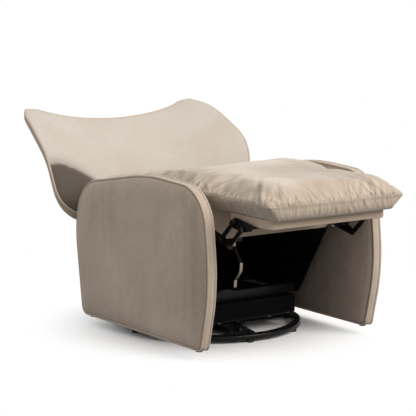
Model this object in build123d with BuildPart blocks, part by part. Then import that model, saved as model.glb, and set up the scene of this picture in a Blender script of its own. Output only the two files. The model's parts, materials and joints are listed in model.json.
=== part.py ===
from build123d import *
import os
from math import cos, hypot, radians, sin, sqrt

# Push-back recliner with a wing back, two slab arms, a chaise pad over a raised footrest and a
# swivel base. Millimetres. The origin is the swivel axis at the floor, the front is -Y, +Z is up,
# and +X is the sitter's left. It is drawn reclined, with the footrest out.

# ---------------------------------------------------------------- clearances
soft_gap = 0.3  # between a soft piece and what it lies on
skin_gap = 0.3  # between the layers of an arm
back_gap = 0.8  # between the layers of the back, whose curved faces stray a little
running_gap = 0.06  # radial, a pin in the link that turns on it
open_pivot_gap = 0.6  # radial, the pivots where the link chain is left open
bolt_gap = 0.25  # radial, a bolt in its hole
weld_gap = 0.2  # star arms to the ring

# ---------------------------------------------------------------- swivel base
ring_radius = 300
ring_width = 30
ring_height = 20
ring_edge = 7
base_turn = -10  # the base stands turned under the chair
glide_count = 8
glide_radius = 13
glide_height = 8
glide_inset = 15
star_arm_count = 4
star_arm_tip = 52
star_arm_root = 84
star_arm_height = 18
star_lift = 2  # above the ring's lower edge
hub_radius = 105
hub_rise = 4
star_bolt_inset = 52
star_bolt_head = 9
star_bolt_height = 5

# ---------------------------------------------------------------- swivel bearing
race_inner = 60
race_outer = 100
race_height = 8.5
race_split = 3
ball_radius = 5
ball_count = 24
kingpin_radius = 10
kingpin_head = 20
kingpin_head_height = 9
swivel_plate_x = 392
swivel_plate_y = 374
swivel_plate_thick = 5
swivel_plate_corner = 28

# ---------------------------------------------------------------- plinth box
plinth_x = 410
plinth_y = 380
plinth_top = 115
board_thick = 18
plinth_bolt_radius = 4
plinth_bolt_head = 8
plinth_bolt_head_height = 3
plinth_bolt_inset = 11  # from the outer face of the front and rear boards
plinth_bolt_depth = 25

# ---------------------------------------------------------------- side plates and tubes
plate_half_gap = 238.5  # from the centre plane to a side plate
plate_thick = 4
plate_lift = 1  # above the plinth
plate_corner = 12
plate_drop = 8  # below the webbing, and behind the recline pivot's boss
plate_tail_z = 190
plate_heel_z = 320
plate_shoulder_z = 425
plate_ridge_y = -150
plate_nose_y = -320
plate_chin_z = 363
plate_knee = (-235, 232)
washer_gap = 0.5
link_thick = 4
tube_size = 30
tube_wall = 2.5
tube_front_y = -135
tube_rear_y = 120
frame_bolt_radius = 5
frame_bolt_head = 9
frame_bolt_head_height = 4

# ---------------------------------------------------------------- footrest pole and links
pole_y = -360  # the line that the footrest turns about, on the pad's underside
pad_bottom = 463
link_pivot_dy = 70  # pivot of the rear link, from the pole
link_pivot_dz = -65
bracket_pin_a = (-153, -38)  # pins of the footrest bracket, (dy, dz) from the pole
bracket_pin_b = (-111, -19)
link_width = 15
link_eye = 8.5
crank_eye = 10.5
link_pin_radius = 4
link_pin_head = 7
link_pin_head_height = 2.5
shaft_radius = 8
shaft_boss = 17

# ---------------------------------------------------------------- seat frame
rail_front_y = -324
rail_thick = 20
rail_bottom = 361
rail_corner = 14
web_thick = 2
web_width = 55
web_count = 7
side_rail_inner = 264
side_rail_thick = 25
side_panel_inner = 257  # the front rail's side panels, outside the links
side_rail_rear = 240
side_rail_bottom = 385
rear_rail_rear = 245
web_front_y = -262
apron_y = 262
apron_thick = 12
apron_half_width = 294
apron_bottom = 60
apron_top = 262
apron_corner = 16

# ---------------------------------------------------------------- footrest board
board_half_width = 228
board_front_y = -627
board_rear_y = -411
foot_board_thick = 30
foot_board_corner = 16
foot_board_edge = 5
flange_thick = 3
flange_inner = 190
flange_front_y = -560
flange_rear_y = -440
bracket_margin = 11
screw_head = 5
screw_head_height = 2
screw_radius = 2.5
screw_inset = 20  # from the flange's inner edge
screw_depth = 14
screw_front_y = -530
screw_rear_y = -480
tab_x = -186
tab_width = 16
tab_length = 9
tab_thick = 1.5

# ---------------------------------------------------------------- chaise pad
pad_half_width = 267
seat_half_width = 295  # between the arms
seat_start_y = -300  # where the seat has its full width
pad_front_y = -674
pad_rear_y = 297
pad_rise = 108  # from the underside to the crest
seam_rise = 45
front_nose_length = 130
rear_nose_length = 90
rear_rise = 45  # the seat falls towards the back
rear_seam_rise = 20
crest_end_y = -110
nose_belly = 42  # from the tip to where the underside is down
nose_tip = 7
nose_narrow = 4
rear_narrow = 62
nose_flat = 20
nose_steps = (0, 0.03, 0.1, 0.22, 0.4, 0.65, 1)
pad_belly = 3
pad_sag = 3
pad_shoulder = 70
shoulder_share = 0.86
pad_cheek = 28
cheek_share = 0.56
pad_edge_width = 39  # from the flat underside's edge out to the seam

# ---------------------------------------------------------------- arms
arm_side_gap = 6  # between the seat cushion and the arm's inner pad
strip_width = 27  # between the two welts
arm_corners = [(-426, 36), (283, 36), (324, 316), (296, 486), (-125, 558), (-442, 544), (-475, 240)]
arm_radii = [16, 30, 370, 150, 900, 135, 600]
welt_radius = 3.8
strip_thick = 4
arm_crown = 17
arm_centre = (-82, 300)
arm_crown_steps = [(0, 1), (0.36, 0.993), (0.66, 0.967), (0.87, 0.9), (1, 0.76)]
arm_bolt_radius = 5
arm_bolt_head = 10
arm_bolt_head_height = 4
arm_bolt_bite = 18
arm_bolt_places = [(-100, 422), (90, 422), (-10, 200)]
spacer_radius = 10
foot_radius = 10.5
foot_height = 8
foot_front_y = -397
foot_rear_y = 238

# ---------------------------------------------------------------- back
back_lean = 42  # from upright, reclined
back_foot_y = 337
back_foot_z = 363
recline_y = 200
recline_z = 380
back_low = -110
back_top = 410
wing_tip = 466
wing_tip_x = 352
back_foot_half = 236
back_neck = -26
back_shoulder = (292, -2)
# half width of the wings against height along the back
wing_outline = [
    (344, 4),
    (376, 26),
    (400, 60),
    (415, 118),
    (419, 190),
    (411, 275),
    (396, 372),
    (378, 430),
]
# the dipped top edge, from the wing tip to the middle: distance from the middle, rise over back_top
top_dip = [(304, 51), (272, 37), (218, 20), (112, 5), (0, 0)]
edge_margin = 11  # beyond the widest place, where the sections end
# height along the back, centre of the front surface, wing depth at its ends, pad thickness
back_sections = [
    (-112, 10, 12, 30),
    (-20, 10, 18, 38),
    (60, 10, 42, 40),
    (120, 10, 75, 42),
    (190, 9, 99, 42),
    (260, 5, 95, 40),
    (340, -4, 82, 34),
    (410, -12, 60, 22),
    (482, -20, 16, 12),
]
wing_pad = 18
shell_centre = 20
shell_edge = 8
cover_centre = 11
cover_edge = 8
piping_radius = 4
piping_back = 1  # behind the pad's front surface
shell_inset = 6
back_cut_reach = 250  # how far the outline is carried to both sides of the back
hinge_thick = 5
hinge_boss = 20
hinge_half_width = 5.5
recline_pin_radius = 6
recline_pin_head = 11
recline_pin_head_height = 4
cross_rod_radius = 8
cross_rod_t = -97
cross_rod_n = 23
hinge_root_t = -34
hinge_root_n = -25.5
hinge_tip_t = 90
hinge_tip_n = -13.5
hinge_rod_boss = 14

# ---------------------------------------------------------------- release lever
lever_x = -120
lever_width = 11
lever_thick = 4
lever_pin_radius = 4
lever_pin_head = 6.5
lever_pin_head_height = 1.5
lever_hub_radius = 9
lever_pin_y = -286
lever_pin_z = 352
lever_path = [(-286, 352), (-289, 326), (-328, 274), (-325, 250), (-296, 216), (-294, 194)]
lever_bends = [12, 14, 16, 10]
ear_thick = 4
lever_plate_rise = 10
lever_plate_height = 38
spring_room = 12
spring_inner = 4.6
spring_outer = 6.8

# ---------------------------------------------------------------- values worked out from the sizes
ring_bottom = glide_height
ring_inner = ring_radius - ring_width
star_bottom = ring_bottom + star_lift
star_top = star_bottom + star_arm_height
hub_top = star_top + hub_rise
ball_centre = hub_top + race_height + race_split / 2
upper_race_bottom = hub_top + race_height + race_split
swivel_plate_bottom = upper_race_bottom + race_height
swivel_plate_top = swivel_plate_bottom + swivel_plate_thick
ball_ring = (race_inner + race_outer) / 2
plinth_board_top = plinth_top - board_thick
plate_outer = plate_half_gap + plate_thick
link_layer_1 = plate_outer + washer_gap
link_layer_2 = link_layer_1 + link_thick + washer_gap
pin_head_face = link_layer_2 + link_thick + washer_gap
shaft_y = pole_y + link_pivot_dy
shaft_z = pad_bottom + link_pivot_dz
rail_top = pad_bottom - soft_gap - web_thick
foot_board_top = pad_bottom - soft_gap
foot_board_bottom = foot_board_top - foot_board_thick
side_rail_outer = side_rail_inner + side_rail_thick
side_rail_front = rail_front_y + rail_thick
strip_inner = seat_half_width + arm_side_gap + arm_crown
strip_outer = strip_inner + strip_width
arm_middle = (strip_inner + strip_outer) / 2
tube_middle_z = plinth_top + tube_size / 2
core_half = strip_width / 2 - skin_gap
strip_half = strip_width / 2 - welt_radius - skin_gap
seam_height = pad_bottom + seam_rise
edge_half = max(x for x, t in wing_outline) + edge_margin


def side_plane(x):
    """Sketch plane across X: its x runs along world Y, its y along world Z, its normal along +X."""
    return Plane(origin=(x, 0, 0), x_dir=(0, 1, 0), z_dir=(1, 0, 0))


def section_plane(y):
    """Sketch plane across Y: its x runs along world X and its y along world Z."""
    return Plane(origin=(0, y, 0), x_dir=(1, 0, 0), z_dir=(0, -1, 0))


back_up = (0, sin(radians(back_lean)), cos(radians(back_lean)))
back_front = (0, -cos(radians(back_lean)), sin(radians(back_lean)))


def back_point(t, n):
    """World (y, z) of a point t along the back and n in front of its reference line."""
    return (
        back_foot_y + t * back_up[1] + n * back_front[1],
        back_foot_z + t * back_up[2] + n * back_front[2],
    )


def back_plane(t):
    """Sketch plane across the back at height t: x is world X, y points out of its front."""
    y, z = back_point(t, 0)
    return Plane(origin=(0, y, z), x_dir=(1, 0, 0), z_dir=(0, -back_up[1], -back_up[2]))


def face_plane(n):
    """Sketch plane along the back: x is world X, y runs up the back, its normal out of the front."""
    y, z = back_point(0, n)
    return Plane(origin=(0, y, z), x_dir=(1, 0, 0), z_dir=back_front)


def inset_corners(corners, distance):
    """Corners of a counter-clockwise polygon whose sides have all moved inwards."""
    moved = []
    for i, corner in enumerate(corners):
        before = corners[i - 1]
        after = corners[(i + 1) % len(corners)]
        ax, ay = corner[0] - before[0], corner[1] - before[1]
        bx, by = after[0] - corner[0], after[1] - corner[1]
        la, lb = hypot(ax, ay), hypot(bx, by)
        ax, ay, bx, by = ax / la, ay / la, bx / lb, by / lb
        # the corner moves along the bisector of the two inward normals
        nx, ny = -ay - by, ax + bx
        scale = distance / (1 + ax * bx + ay * by)
        moved.append((corner[0] + nx * scale, corner[1] + ny * scale))
    return moved


def arm_outline(inset, scale=1.0):
    """Closed outline of an arm, inset from the welt line and then shrunk about the arm's middle."""
    corners = [
        (arm_centre[0] + scale * (y - arm_centre[0]), arm_centre[1] + scale * (z - arm_centre[1]))
        for y, z in inset_corners(arm_corners, inset)
    ]
    return FilletPolyline(*corners, radius=[scale * (r - inset) for r in arm_radii], close=True)


def save(builder, name):
    """Label a finished piece and write it."""
    builder.part.label = name
    export_step(builder.part, f"parts/{name}.step")


def save_pair(builder, name):
    """Write a piece made on the +X side, the sitter's left, and its mirror image."""
    save(builder, name + "_left")
    with BuildPart() as mirrored:
        mirror(builder.part, about=Plane.YZ)
    save(mirrored, name + "_right")


def save_both(builder, name):
    """Write a piece made on the +X side together with its mirror image, as two solids."""
    with BuildPart() as both:
        add(builder.part)
        mirror(builder.part, about=Plane.YZ)
    save(both, name)


os.makedirs("parts", exist_ok=True)

# ================================================================ base
with BuildPart() as base_ring:
    with BuildSketch(Plane.XZ) as ring_section:
        with Locations((ring_radius - ring_width / 2, ring_bottom + ring_height / 2)):
            RectangleRounded(ring_width, ring_height, ring_edge)
    revolve(axis=Axis.Z)
save(base_ring, "base_ring")

with BuildPart() as star_cross:
    with BuildSketch(Plane.XY.offset(star_bottom)):
        reach = ring_inner - weld_gap
        with PolarLocations(0, star_arm_count, start_angle=base_turn):
            Polygon(
                (0, -star_arm_root / 2),
                (ring_radius, -star_arm_tip / 2),
                (ring_radius, star_arm_tip / 2),
                (0, star_arm_root / 2),
                align=None,
            )
        Circle(reach, mode=Mode.INTERSECT)
    extrude(amount=star_arm_height)
    with BuildSketch(Plane.XY.offset(star_bottom)):
        Circle(hub_radius)
    extrude(amount=hub_top - star_bottom)
    with BuildSketch(Plane.XY.offset(star_bottom)):
        Circle(kingpin_radius + bolt_gap)
    extrude(amount=hub_top - star_bottom, mode=Mode.SUBTRACT)
save(star_cross, "star_cross")

with BuildPart() as star_bolts:
    with BuildSketch(Plane.XY.offset(star_top)):
        with PolarLocations(ring_inner - star_bolt_inset, star_arm_count, start_angle=base_turn):
            RegularPolygon(star_bolt_head, 6)
    extrude(amount=star_bolt_height)
save(star_bolts, "star_bolts")

with BuildPart() as base_glides:
    with BuildSketch():
        with PolarLocations(ring_radius - glide_inset, glide_count, start_angle=base_turn):
            Circle(glide_radius)
    extrude(amount=glide_height, taper=6)
save(base_glides, "base_glides")


def race(bottom):
    """One race of the bearing, with its ball groove."""
    with BuildPart() as ring:
        with BuildSketch(Plane.XY.offset(bottom)):
            Circle(race_outer)
            Circle(race_inner, mode=Mode.SUBTRACT)
        extrude(amount=race_height)
        with BuildSketch(Plane.XZ):
            with Locations((ball_ring, ball_centre)):
                Circle(ball_radius + running_gap)
        revolve(axis=Axis.Z, mode=Mode.SUBTRACT)
    return ring


save(race(hub_top), "lower_race")
save(race(upper_race_bottom), "upper_race")

with BuildPart() as bearing_balls:
    with Locations((0, 0, ball_centre)):
        with PolarLocations(ball_ring, ball_count):
            Sphere(ball_radius)
save(bearing_balls, "bearing_balls")

with BuildPart() as kingpin:
    with BuildSketch(Plane.XY.offset(star_bottom)):
        Circle(kingpin_radius)
    extrude(amount=swivel_plate_top + washer_gap - star_bottom)
    with BuildSketch(Plane.XY.offset(swivel_plate_top + washer_gap)):
        RegularPolygon(kingpin_head, 6)
    extrude(amount=kingpin_head_height)
save(kingpin, "kingpin")

# ================================================================ swivel plate and plinth
plinth_bolt_pitch = (plinth_x / 2, plinth_y - 2 * plinth_bolt_inset)

with BuildPart() as swivel_plate:
    with BuildSketch(Plane.XY.offset(swivel_plate_bottom)):
        RectangleRounded(swivel_plate_x, swivel_plate_y, swivel_plate_corner)
        Circle(kingpin_radius + running_gap, mode=Mode.SUBTRACT)
        with GridLocations(*plinth_bolt_pitch, 2, 2):
            Circle(plinth_bolt_radius + bolt_gap, mode=Mode.SUBTRACT)
    extrude(amount=swivel_plate_thick)
save(swivel_plate, "swivel_plate")


def plinth_wall(width, depth, x, y):
    """An upright board of the plinth box."""
    with BuildPart() as board:
        with BuildSketch(Plane.XY.offset(swivel_plate_top)):
            with Locations((x, y)):
                Rectangle(width, depth)
        extrude(amount=plinth_board_top - swivel_plate_top)
        with BuildSketch(Plane.XY.offset(swivel_plate_top)):
            with GridLocations(*plinth_bolt_pitch, 2, 2):
                Circle(plinth_bolt_radius + bolt_gap)
        extrude(amount=plinth_bolt_depth, mode=Mode.SUBTRACT)
    return board


wall_y = (plinth_y - board_thick) / 2
wall_x = (plinth_x - board_thick) / 2
save(plinth_wall(plinth_x, board_thick, 0, -wall_y), "plinth_front")
save(plinth_wall(plinth_x, board_thick, 0, wall_y), "plinth_rear")
save_both(plinth_wall(board_thick, plinth_y - 2 * board_thick, wall_x, 0), "plinth_sides")

with BuildPart() as plinth_lid:
    with BuildSketch(Plane.XY.offset(plinth_board_top)):
        Rectangle(plinth_x, plinth_y)
    extrude(amount=board_thick)
save(plinth_lid, "plinth_lid")

with BuildPart() as plinth_bolts:
    with BuildSketch(Plane.XY.offset(swivel_plate_bottom - plinth_bolt_head_height)):
        with GridLocations(*plinth_bolt_pitch, 2, 2):
            Circle(plinth_bolt_head)
    extrude(amount=plinth_bolt_head_height)
    with BuildSketch(Plane.XY.offset(swivel_plate_bottom)):
        with GridLocations(*plinth_bolt_pitch, 2, 2):
            Circle(plinth_bolt_radius)
    extrude(amount=swivel_plate_thick + plinth_bolt_depth - bolt_gap)
save(plinth_bolts, "plinth_bolts")

# ================================================================ side plates, tubes, shaft
tube_places = [(tube_front_y, tube_middle_z), (tube_rear_y, tube_middle_z)]

with BuildPart() as side_plate:
    with BuildSketch(side_plane(plate_half_gap)):
        with BuildLine():
            FilletPolyline(
                (tube_front_y - tube_size, plinth_top + plate_lift),
                (apron_y, plinth_top + plate_lift),
                (apron_y, plate_tail_z),
                (recline_y + hinge_boss, plate_heel_z),
                (recline_y + hinge_boss + plate_drop, plate_shoulder_z),
                (plate_ridge_y, rail_top - plate_drop),
                (shaft_y + plate_drop, rail_top - plate_drop),
                (plate_nose_y, shaft_z + shaft_boss),
                (plate_nose_y, plate_chin_z),
                plate_knee,
                radius=plate_corner,
                close=True,
            )
        make_face()
        with Locations((shaft_y, shaft_z)):
            Circle(shaft_radius + running_gap, mode=Mode.SUBTRACT)
        with Locations((recline_y, recline_z)):
            Circle(recline_pin_radius + bolt_gap, mode=Mode.SUBTRACT)
        with Locations(*arm_bolt_places):
            Circle(arm_bolt_radius + bolt_gap, mode=Mode.SUBTRACT)
        with Locations(*tube_places):
            Circle(frame_bolt_radius + bolt_gap, mode=Mode.SUBTRACT)
    extrude(amount=plate_thick)
save_both(side_plate, "side_plates")

with BuildPart() as cross_tubes:
    with BuildSketch(side_plane(-plate_half_gap)):
        with Locations(*tube_places):
            Rectangle(tube_size, tube_size)
            Rectangle(tube_size - 2 * tube_wall, tube_size - 2 * tube_wall, mode=Mode.SUBTRACT)
    extrude(amount=2 * plate_half_gap)
save(cross_tubes, "cross_tubes")

with BuildPart() as frame_bolts:
    for side in (1, -1):
        with BuildSketch(side_plane(side * plate_outer)):
            with Locations(*tube_places):
                RegularPolygon(frame_bolt_head, 6)
        extrude(amount=side * frame_bolt_head_height)
        with BuildSketch(side_plane(side * plate_outer)):
            with Locations(*tube_places):
                Circle(frame_bolt_radius)
        extrude(amount=-side * (plate_thick + tube_size / 2))
save(frame_bolts, "frame_bolts")

with BuildPart() as pivot_shaft:
    with BuildSketch(side_plane(-link_layer_1)):
        with Locations((shaft_y, shaft_z)):
            Circle(shaft_radius)
    extrude(amount=2 * link_layer_1)
save(pivot_shaft, "pivot_shaft")

# ================================================================ links of the footrest
pin_a = (pole_y + bracket_pin_a[0], pad_bottom + bracket_pin_a[1])
pin_b = (pole_y + bracket_pin_b[0], pad_bottom + bracket_pin_b[1])
crank_a = (pin_a[0] + link_pivot_dy, pin_a[1] + link_pivot_dz)
crank_b = (pin_b[0] + link_pivot_dy, pin_b[1] + link_pivot_dz)

with BuildPart() as rear_link:
    with BuildSketch(side_plane(link_layer_1)):
        with Locations((shaft_y, shaft_z)):
            Circle(shaft_boss)
        with Locations(crank_a, crank_b):
            Circle(crank_eye)
        make_hull()
        with Locations(crank_a, crank_b):
            Circle(link_pin_radius + running_gap, mode=Mode.SUBTRACT)
    extrude(amount=link_thick)
save_both(rear_link, "rear_links")


def front_link(top, bottom):
    """A straight flat link with an eye at each end, on the +X side."""
    with BuildPart() as link:
        with BuildSketch(side_plane(link_layer_2)):
            with BuildLine() as centre:
                Line(top, bottom)
            trace(centre.line, link_width)
            with Locations(top, bottom):
                Circle(link_eye)
            with Locations(top):
                Circle(link_pin_radius + running_gap, mode=Mode.SUBTRACT)
            with Locations(bottom):
                Circle(link_pin_radius + open_pivot_gap, mode=Mode.SUBTRACT)
        extrude(amount=link_thick)
    return link


save_pair(front_link(pin_a, crank_a), "front_link")
save_pair(front_link(pin_b, crank_b), "middle_link")


def link_pins(places):
    """Headed pins through both link layers, on both sides."""
    with BuildPart() as pins:
        for side in (1, -1):
            with BuildSketch(side_plane(side * link_layer_1)):
                with Locations(*places):
                    Circle(link_pin_radius)
            extrude(amount=side * (pin_head_face - link_layer_1))
            with BuildSketch(side_plane(side * pin_head_face)):
                with Locations(*places):
                    Circle(link_pin_head)
            extrude(amount=side * link_pin_head_height)
    return pins


save(link_pins([crank_a, crank_b]), "crank_pins")
save(link_pins([pin_a, pin_b]), "bracket_pins")

# ================================================================ footrest
with BuildPart() as footrest_board:
    board_length = board_rear_y - board_front_y
    with BuildSketch(Plane.XY.offset(foot_board_bottom)):
        with Locations((0, (board_rear_y + board_front_y) / 2)):
            RectangleRounded(2 * board_half_width, board_length, foot_board_corner)
    extrude(amount=foot_board_thick)
    fillet(footrest_board.faces().sort_by(Axis.Z)[0].edges(), foot_board_edge)
    with BuildSketch(Plane.XY.offset(foot_board_bottom)):
        for y in (screw_front_y, screw_rear_y):
            with Locations((flange_inner + screw_inset, y), (-flange_inner - screw_inset, y)):
                Circle(screw_radius + bolt_gap)
    extrude(amount=screw_depth, mode=Mode.SUBTRACT)
save(footrest_board, "footrest_board")

with BuildPart() as footrest_bracket:
    with BuildSketch(Plane.XY.offset(foot_board_bottom - flange_thick)):
        with Locations(((flange_inner + link_layer_1) / 2, (flange_front_y + flange_rear_y) / 2)):
            Rectangle(link_layer_1 - flange_inner, flange_rear_y - flange_front_y)
        with Locations(*[(flange_inner + screw_inset, y) for y in (screw_front_y, screw_rear_y)]):
            Circle(screw_radius + bolt_gap, mode=Mode.SUBTRACT)
    extrude(amount=flange_thick)
    with BuildSketch(side_plane(link_layer_1)):
        with Locations(pin_a, pin_b):
            Circle(bracket_margin)
        with Locations(
            (flange_front_y + bracket_margin, foot_board_bottom),
            (flange_rear_y - bracket_margin, foot_board_bottom),
        ):
            Circle(bracket_margin)
        make_hull()
        with Locations(pin_a, pin_b):
            Circle(link_pin_radius + running_gap, mode=Mode.SUBTRACT)
    extrude(amount=link_thick)
save_both(footrest_bracket, "footrest_brackets")

with BuildPart() as footrest_screws:
    screw_x = flange_inner + screw_inset
    flange_bottom = foot_board_bottom - flange_thick
    spots = [(s * screw_x, y) for s in (1, -1) for y in (screw_front_y, screw_rear_y)]
    with BuildSketch(Plane.XY.offset(flange_bottom - screw_head_height)):
        with Locations(*spots):
            Circle(screw_head)
    extrude(amount=screw_head_height)
    with BuildSketch(Plane.XY.offset(flange_bottom)):
        with Locations(*spots):
            Circle(screw_radius)
    extrude(amount=flange_thick + screw_depth - bolt_gap)
save(footrest_screws, "footrest_screws")

with BuildPart() as pad_tab:
    with BuildSketch(Plane.XY.offset(foot_board_top - tab_thick)):
        with Locations((tab_x, board_front_y - tab_length / 2)):
            Rectangle(tab_width, tab_length)
    extrude(amount=tab_thick)
save(pad_tab, "pad_tab")


def pad_section(y, half, bottom, seam, crest, flat):
    """Cross section of the chaise pad: flat below, bellied sides with a seam, crowned above."""
    belly = ((flat + half) / 2 + pad_belly, (bottom + seam) / 2 - pad_sag)
    shoulder = (half - pad_shoulder, seam + shoulder_share * (crest - seam))
    cheek = (half - pad_cheek, seam + cheek_share * (crest - seam))
    with BuildSketch(section_plane(y)) as section:
        with BuildLine():
            Line((0, bottom), (flat, bottom))
            ThreePointArc((flat, bottom), belly, (half, seam))
            ThreePointArc((half, seam), cheek, shoulder)
            mirror(about=Plane.YZ)
            ThreePointArc(shoulder, (0, crest), (-shoulder[0], shoulder[1]))
        make_face()
    return section.sketch


def pad_part(sections):
    """One length of the chaise pad, lofted through its cross sections."""
    with BuildPart() as pad:
        loft(sections=[pad_section(*values) for values in sections], ruled=True)
    return pad


def nose_section(share, end_y, length, half, narrow, seam, crest):
    """Section of a rounded end of the pad: share runs from 0 at the tip to 1 where it is full."""
    rise = sqrt(1 - (1 - share) ** 2)
    belly = sqrt(1 - (1 - min(1, share * abs(length) / nose_belly)) ** 2)
    tip = nose_tip * (1 - rise)
    return (
        end_y + share * length,
        half - narrow * (1 - rise),
        seam - tip - (seam - tip - pad_bottom) * belly,
        seam,
        seam + tip + (crest - seam - tip) * rise,
        half - pad_edge_width - nose_flat * (1 - belly),
    )


def pad_rib(y, half):
    """Section of the pad at its full height."""
    return (y, half, pad_bottom, seam_height, pad_crest, half - pad_edge_width)


split_gap = soft_gap / 2
pad_crest = pad_bottom + pad_rise
rear_seam = pad_bottom + rear_seam_rise
rear_crest = pad_bottom + rear_rise
front_end = (pad_front_y, front_nose_length, pad_half_width, nose_narrow, seam_height, pad_crest)
rear_end = (pad_rear_y, -rear_nose_length, seat_half_width, rear_narrow, rear_seam, rear_crest)
front_nose = [nose_section(share, *front_end) for share in nose_steps]
rear_nose = [nose_section(share, *rear_end) for share in nose_steps]
seat_ribs = [
    pad_rib(pole_y + split_gap, pad_half_width),
    pad_rib(seat_start_y, seat_half_width),
    pad_rib(crest_end_y, seat_half_width),
]
save(pad_part(front_nose + [pad_rib(pole_y - split_gap, pad_half_width)]), "footrest_cushion")
save(pad_part(seat_ribs + rear_nose[::-1]), "seat_cushion")

# ================================================================ seat frame
with BuildPart() as seat_front_rail:
    with BuildSketch(section_plane(rail_front_y)):
        with Locations((0, (rail_top + rail_bottom) / 2)):
            Rectangle(2 * plate_half_gap, rail_top - rail_bottom)
    extrude(amount=-rail_thick)
    fillet(seat_front_rail.edges().filter_by(Axis.Y).group_by(Axis.Z)[0], rail_corner)
    with BuildSketch(section_plane(rail_front_y)):
        panel_middle = (side_panel_inner + seat_half_width) / 2
        with Locations(*[(side * panel_middle, (rail_top + rail_bottom) / 2) for side in (1, -1)]):
            Rectangle(seat_half_width - side_panel_inner, rail_top - rail_bottom)
    extrude(amount=-rail_thick)
save(seat_front_rail, "seat_front_rail")

with BuildPart() as seat_rear_rail:
    with BuildSketch(section_plane(rear_rail_rear - rail_thick)):
        with Locations((0, (rail_top + rail_bottom) / 2)):
            Rectangle(2 * plate_half_gap, rail_top - rail_bottom)
    extrude(amount=-rail_thick)
save(seat_rear_rail, "seat_rear_rail")

with BuildPart() as seat_side_rail:
    with BuildSketch(side_plane(side_rail_inner)):
        with Locations(((side_rail_front + side_rail_rear) / 2, (rail_top + side_rail_bottom) / 2)):
            Rectangle(side_rail_rear - side_rail_front, rail_top - side_rail_bottom)
        with Locations(*arm_bolt_places):
            Circle(arm_bolt_radius + bolt_gap, mode=Mode.SUBTRACT)
    extrude(amount=side_rail_thick)
save_both(seat_side_rail, "seat_side_rails")

with BuildPart() as seat_webbing:
    with BuildSketch(Plane.XY.offset(rail_top)):
        web_pitch = (side_rail_rear - web_front_y - web_width) / (web_count - 1)
        with Locations((0, (web_front_y + side_rail_rear) / 2)):
            with GridLocations(1, web_pitch, 1, web_count):
                Rectangle(2 * side_rail_outer, web_width)
    extrude(amount=web_thick)
save(seat_webbing, "seat_webbing")

with BuildPart() as rear_apron:
    with BuildSketch(section_plane(apron_y)):
        with Locations((0, (apron_top + apron_bottom) / 2)):
            RectangleRounded(2 * apron_half_width, apron_top - apron_bottom, apron_corner)
    extrude(amount=-apron_thick)
save(rear_apron, "rear_apron")

# ================================================================ arms, +X side
upper_bolts = [place for place in arm_bolt_places if place[1] > side_rail_bottom]
lower_bolts = [place for place in arm_bolt_places if place[1] <= side_rail_bottom]

with BuildPart() as arm_core:
    with BuildSketch(side_plane(arm_middle - core_half)):
        with BuildLine():
            arm_outline(strip_thick + skin_gap)
        make_face()
    extrude(amount=2 * core_half)
    with BuildSketch(side_plane(arm_middle - core_half)):
        with Locations(*arm_bolt_places):
            Circle(arm_bolt_radius + bolt_gap)
    extrude(amount=arm_bolt_bite, mode=Mode.SUBTRACT)
save_pair(arm_core, "arm_core")

with BuildPart() as arm_strip:
    with BuildSketch(side_plane(arm_middle - strip_half)):
        with BuildLine():
            arm_outline(0)
        make_face()
        with BuildLine():
            arm_outline(strip_thick)
        make_face(mode=Mode.SUBTRACT)
    extrude(amount=2 * strip_half)
save_pair(arm_strip, "arm_strip")


def arm_pad(face, out):
    """Crowned pad of an arm that starts at X = face and swells by arm_crown towards out."""
    with BuildPart() as pad:
        for share, scale in arm_crown_steps:
            with BuildSketch(side_plane(face + out * share * arm_crown)):
                with BuildLine():
                    arm_outline(welt_radius + skin_gap, scale)
                make_face()
        loft()
    return pad


save_pair(arm_pad(strip_outer, 1), "arm_outer_pad")

inner_pad_solid = arm_pad(strip_inner, -1)
with BuildPart() as arm_inner_pad:
    add(inner_pad_solid.part)
    with BuildSketch(side_plane(strip_inner)):
        with Locations(*upper_bolts):
            Circle(arm_bolt_radius + bolt_gap)
        with Locations(*lower_bolts):
            Circle(spacer_radius + bolt_gap)
    extrude(amount=-2 * arm_crown, mode=Mode.SUBTRACT)
save_pair(arm_inner_pad, "arm_inner_pad")


def welt(x):
    """Piped cord along the arm's outline at X = x."""
    with BuildPart() as cord:
        with BuildLine(side_plane(x)) as path:
            arm_outline(0)
        start = path.line.edges()[0]
        with BuildSketch(Plane(origin=start @ 0, z_dir=start % 0)):
            Circle(welt_radius)
        sweep(path=path.wires()[0])
    return cord


with BuildPart() as arm_welts:
    add(welt(strip_outer).part)
    add(welt(strip_inner).part)
save_pair(arm_welts, "arm_welts")

with BuildPart() as arm_bolts:
    for side in (1, -1):
        with BuildSketch(side_plane(side * plate_half_gap)):
            with Locations(*arm_bolt_places):
                RegularPolygon(arm_bolt_head, 6)
        extrude(amount=-side * arm_bolt_head_height)
        with BuildSketch(side_plane(side * plate_half_gap)):
            with Locations(*arm_bolt_places):
                Circle(arm_bolt_radius)
        bite_end = arm_middle - core_half + arm_bolt_bite - bolt_gap
        extrude(amount=side * (bite_end - plate_half_gap))
save(arm_bolts, "arm_bolts")

with BuildPart() as arm_spacers:
    for side in (1, -1):
        for places, end in ((upper_bolts, side_rail_inner), (lower_bolts, arm_middle - core_half)):
            with BuildSketch(side_plane(side * plate_outer)):
                with Locations(*places):
                    Circle(spacer_radius)
                    Circle(arm_bolt_radius + bolt_gap, mode=Mode.SUBTRACT)
            extrude(amount=side * (end - plate_outer))
save(arm_spacers, "arm_spacers")

with BuildPart() as arm_feet:
    arm_bottom = arm_corners[0][1]
    foot_places = [(side * arm_middle, y) for side in (1, -1) for y in (foot_front_y, foot_rear_y)]
    with BuildSketch(Plane.XY.offset(arm_bottom - foot_height)):
        with Locations(*foot_places):
            Circle(foot_radius)
    extrude(amount=foot_height - welt_radius - skin_gap)
    with BuildSketch(Plane.XY.offset(arm_bottom - foot_height)):
        with Locations(*foot_places):
            Circle(strip_half - skin_gap)
    extrude(amount=foot_height)
save(arm_feet, "arm_feet")


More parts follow.
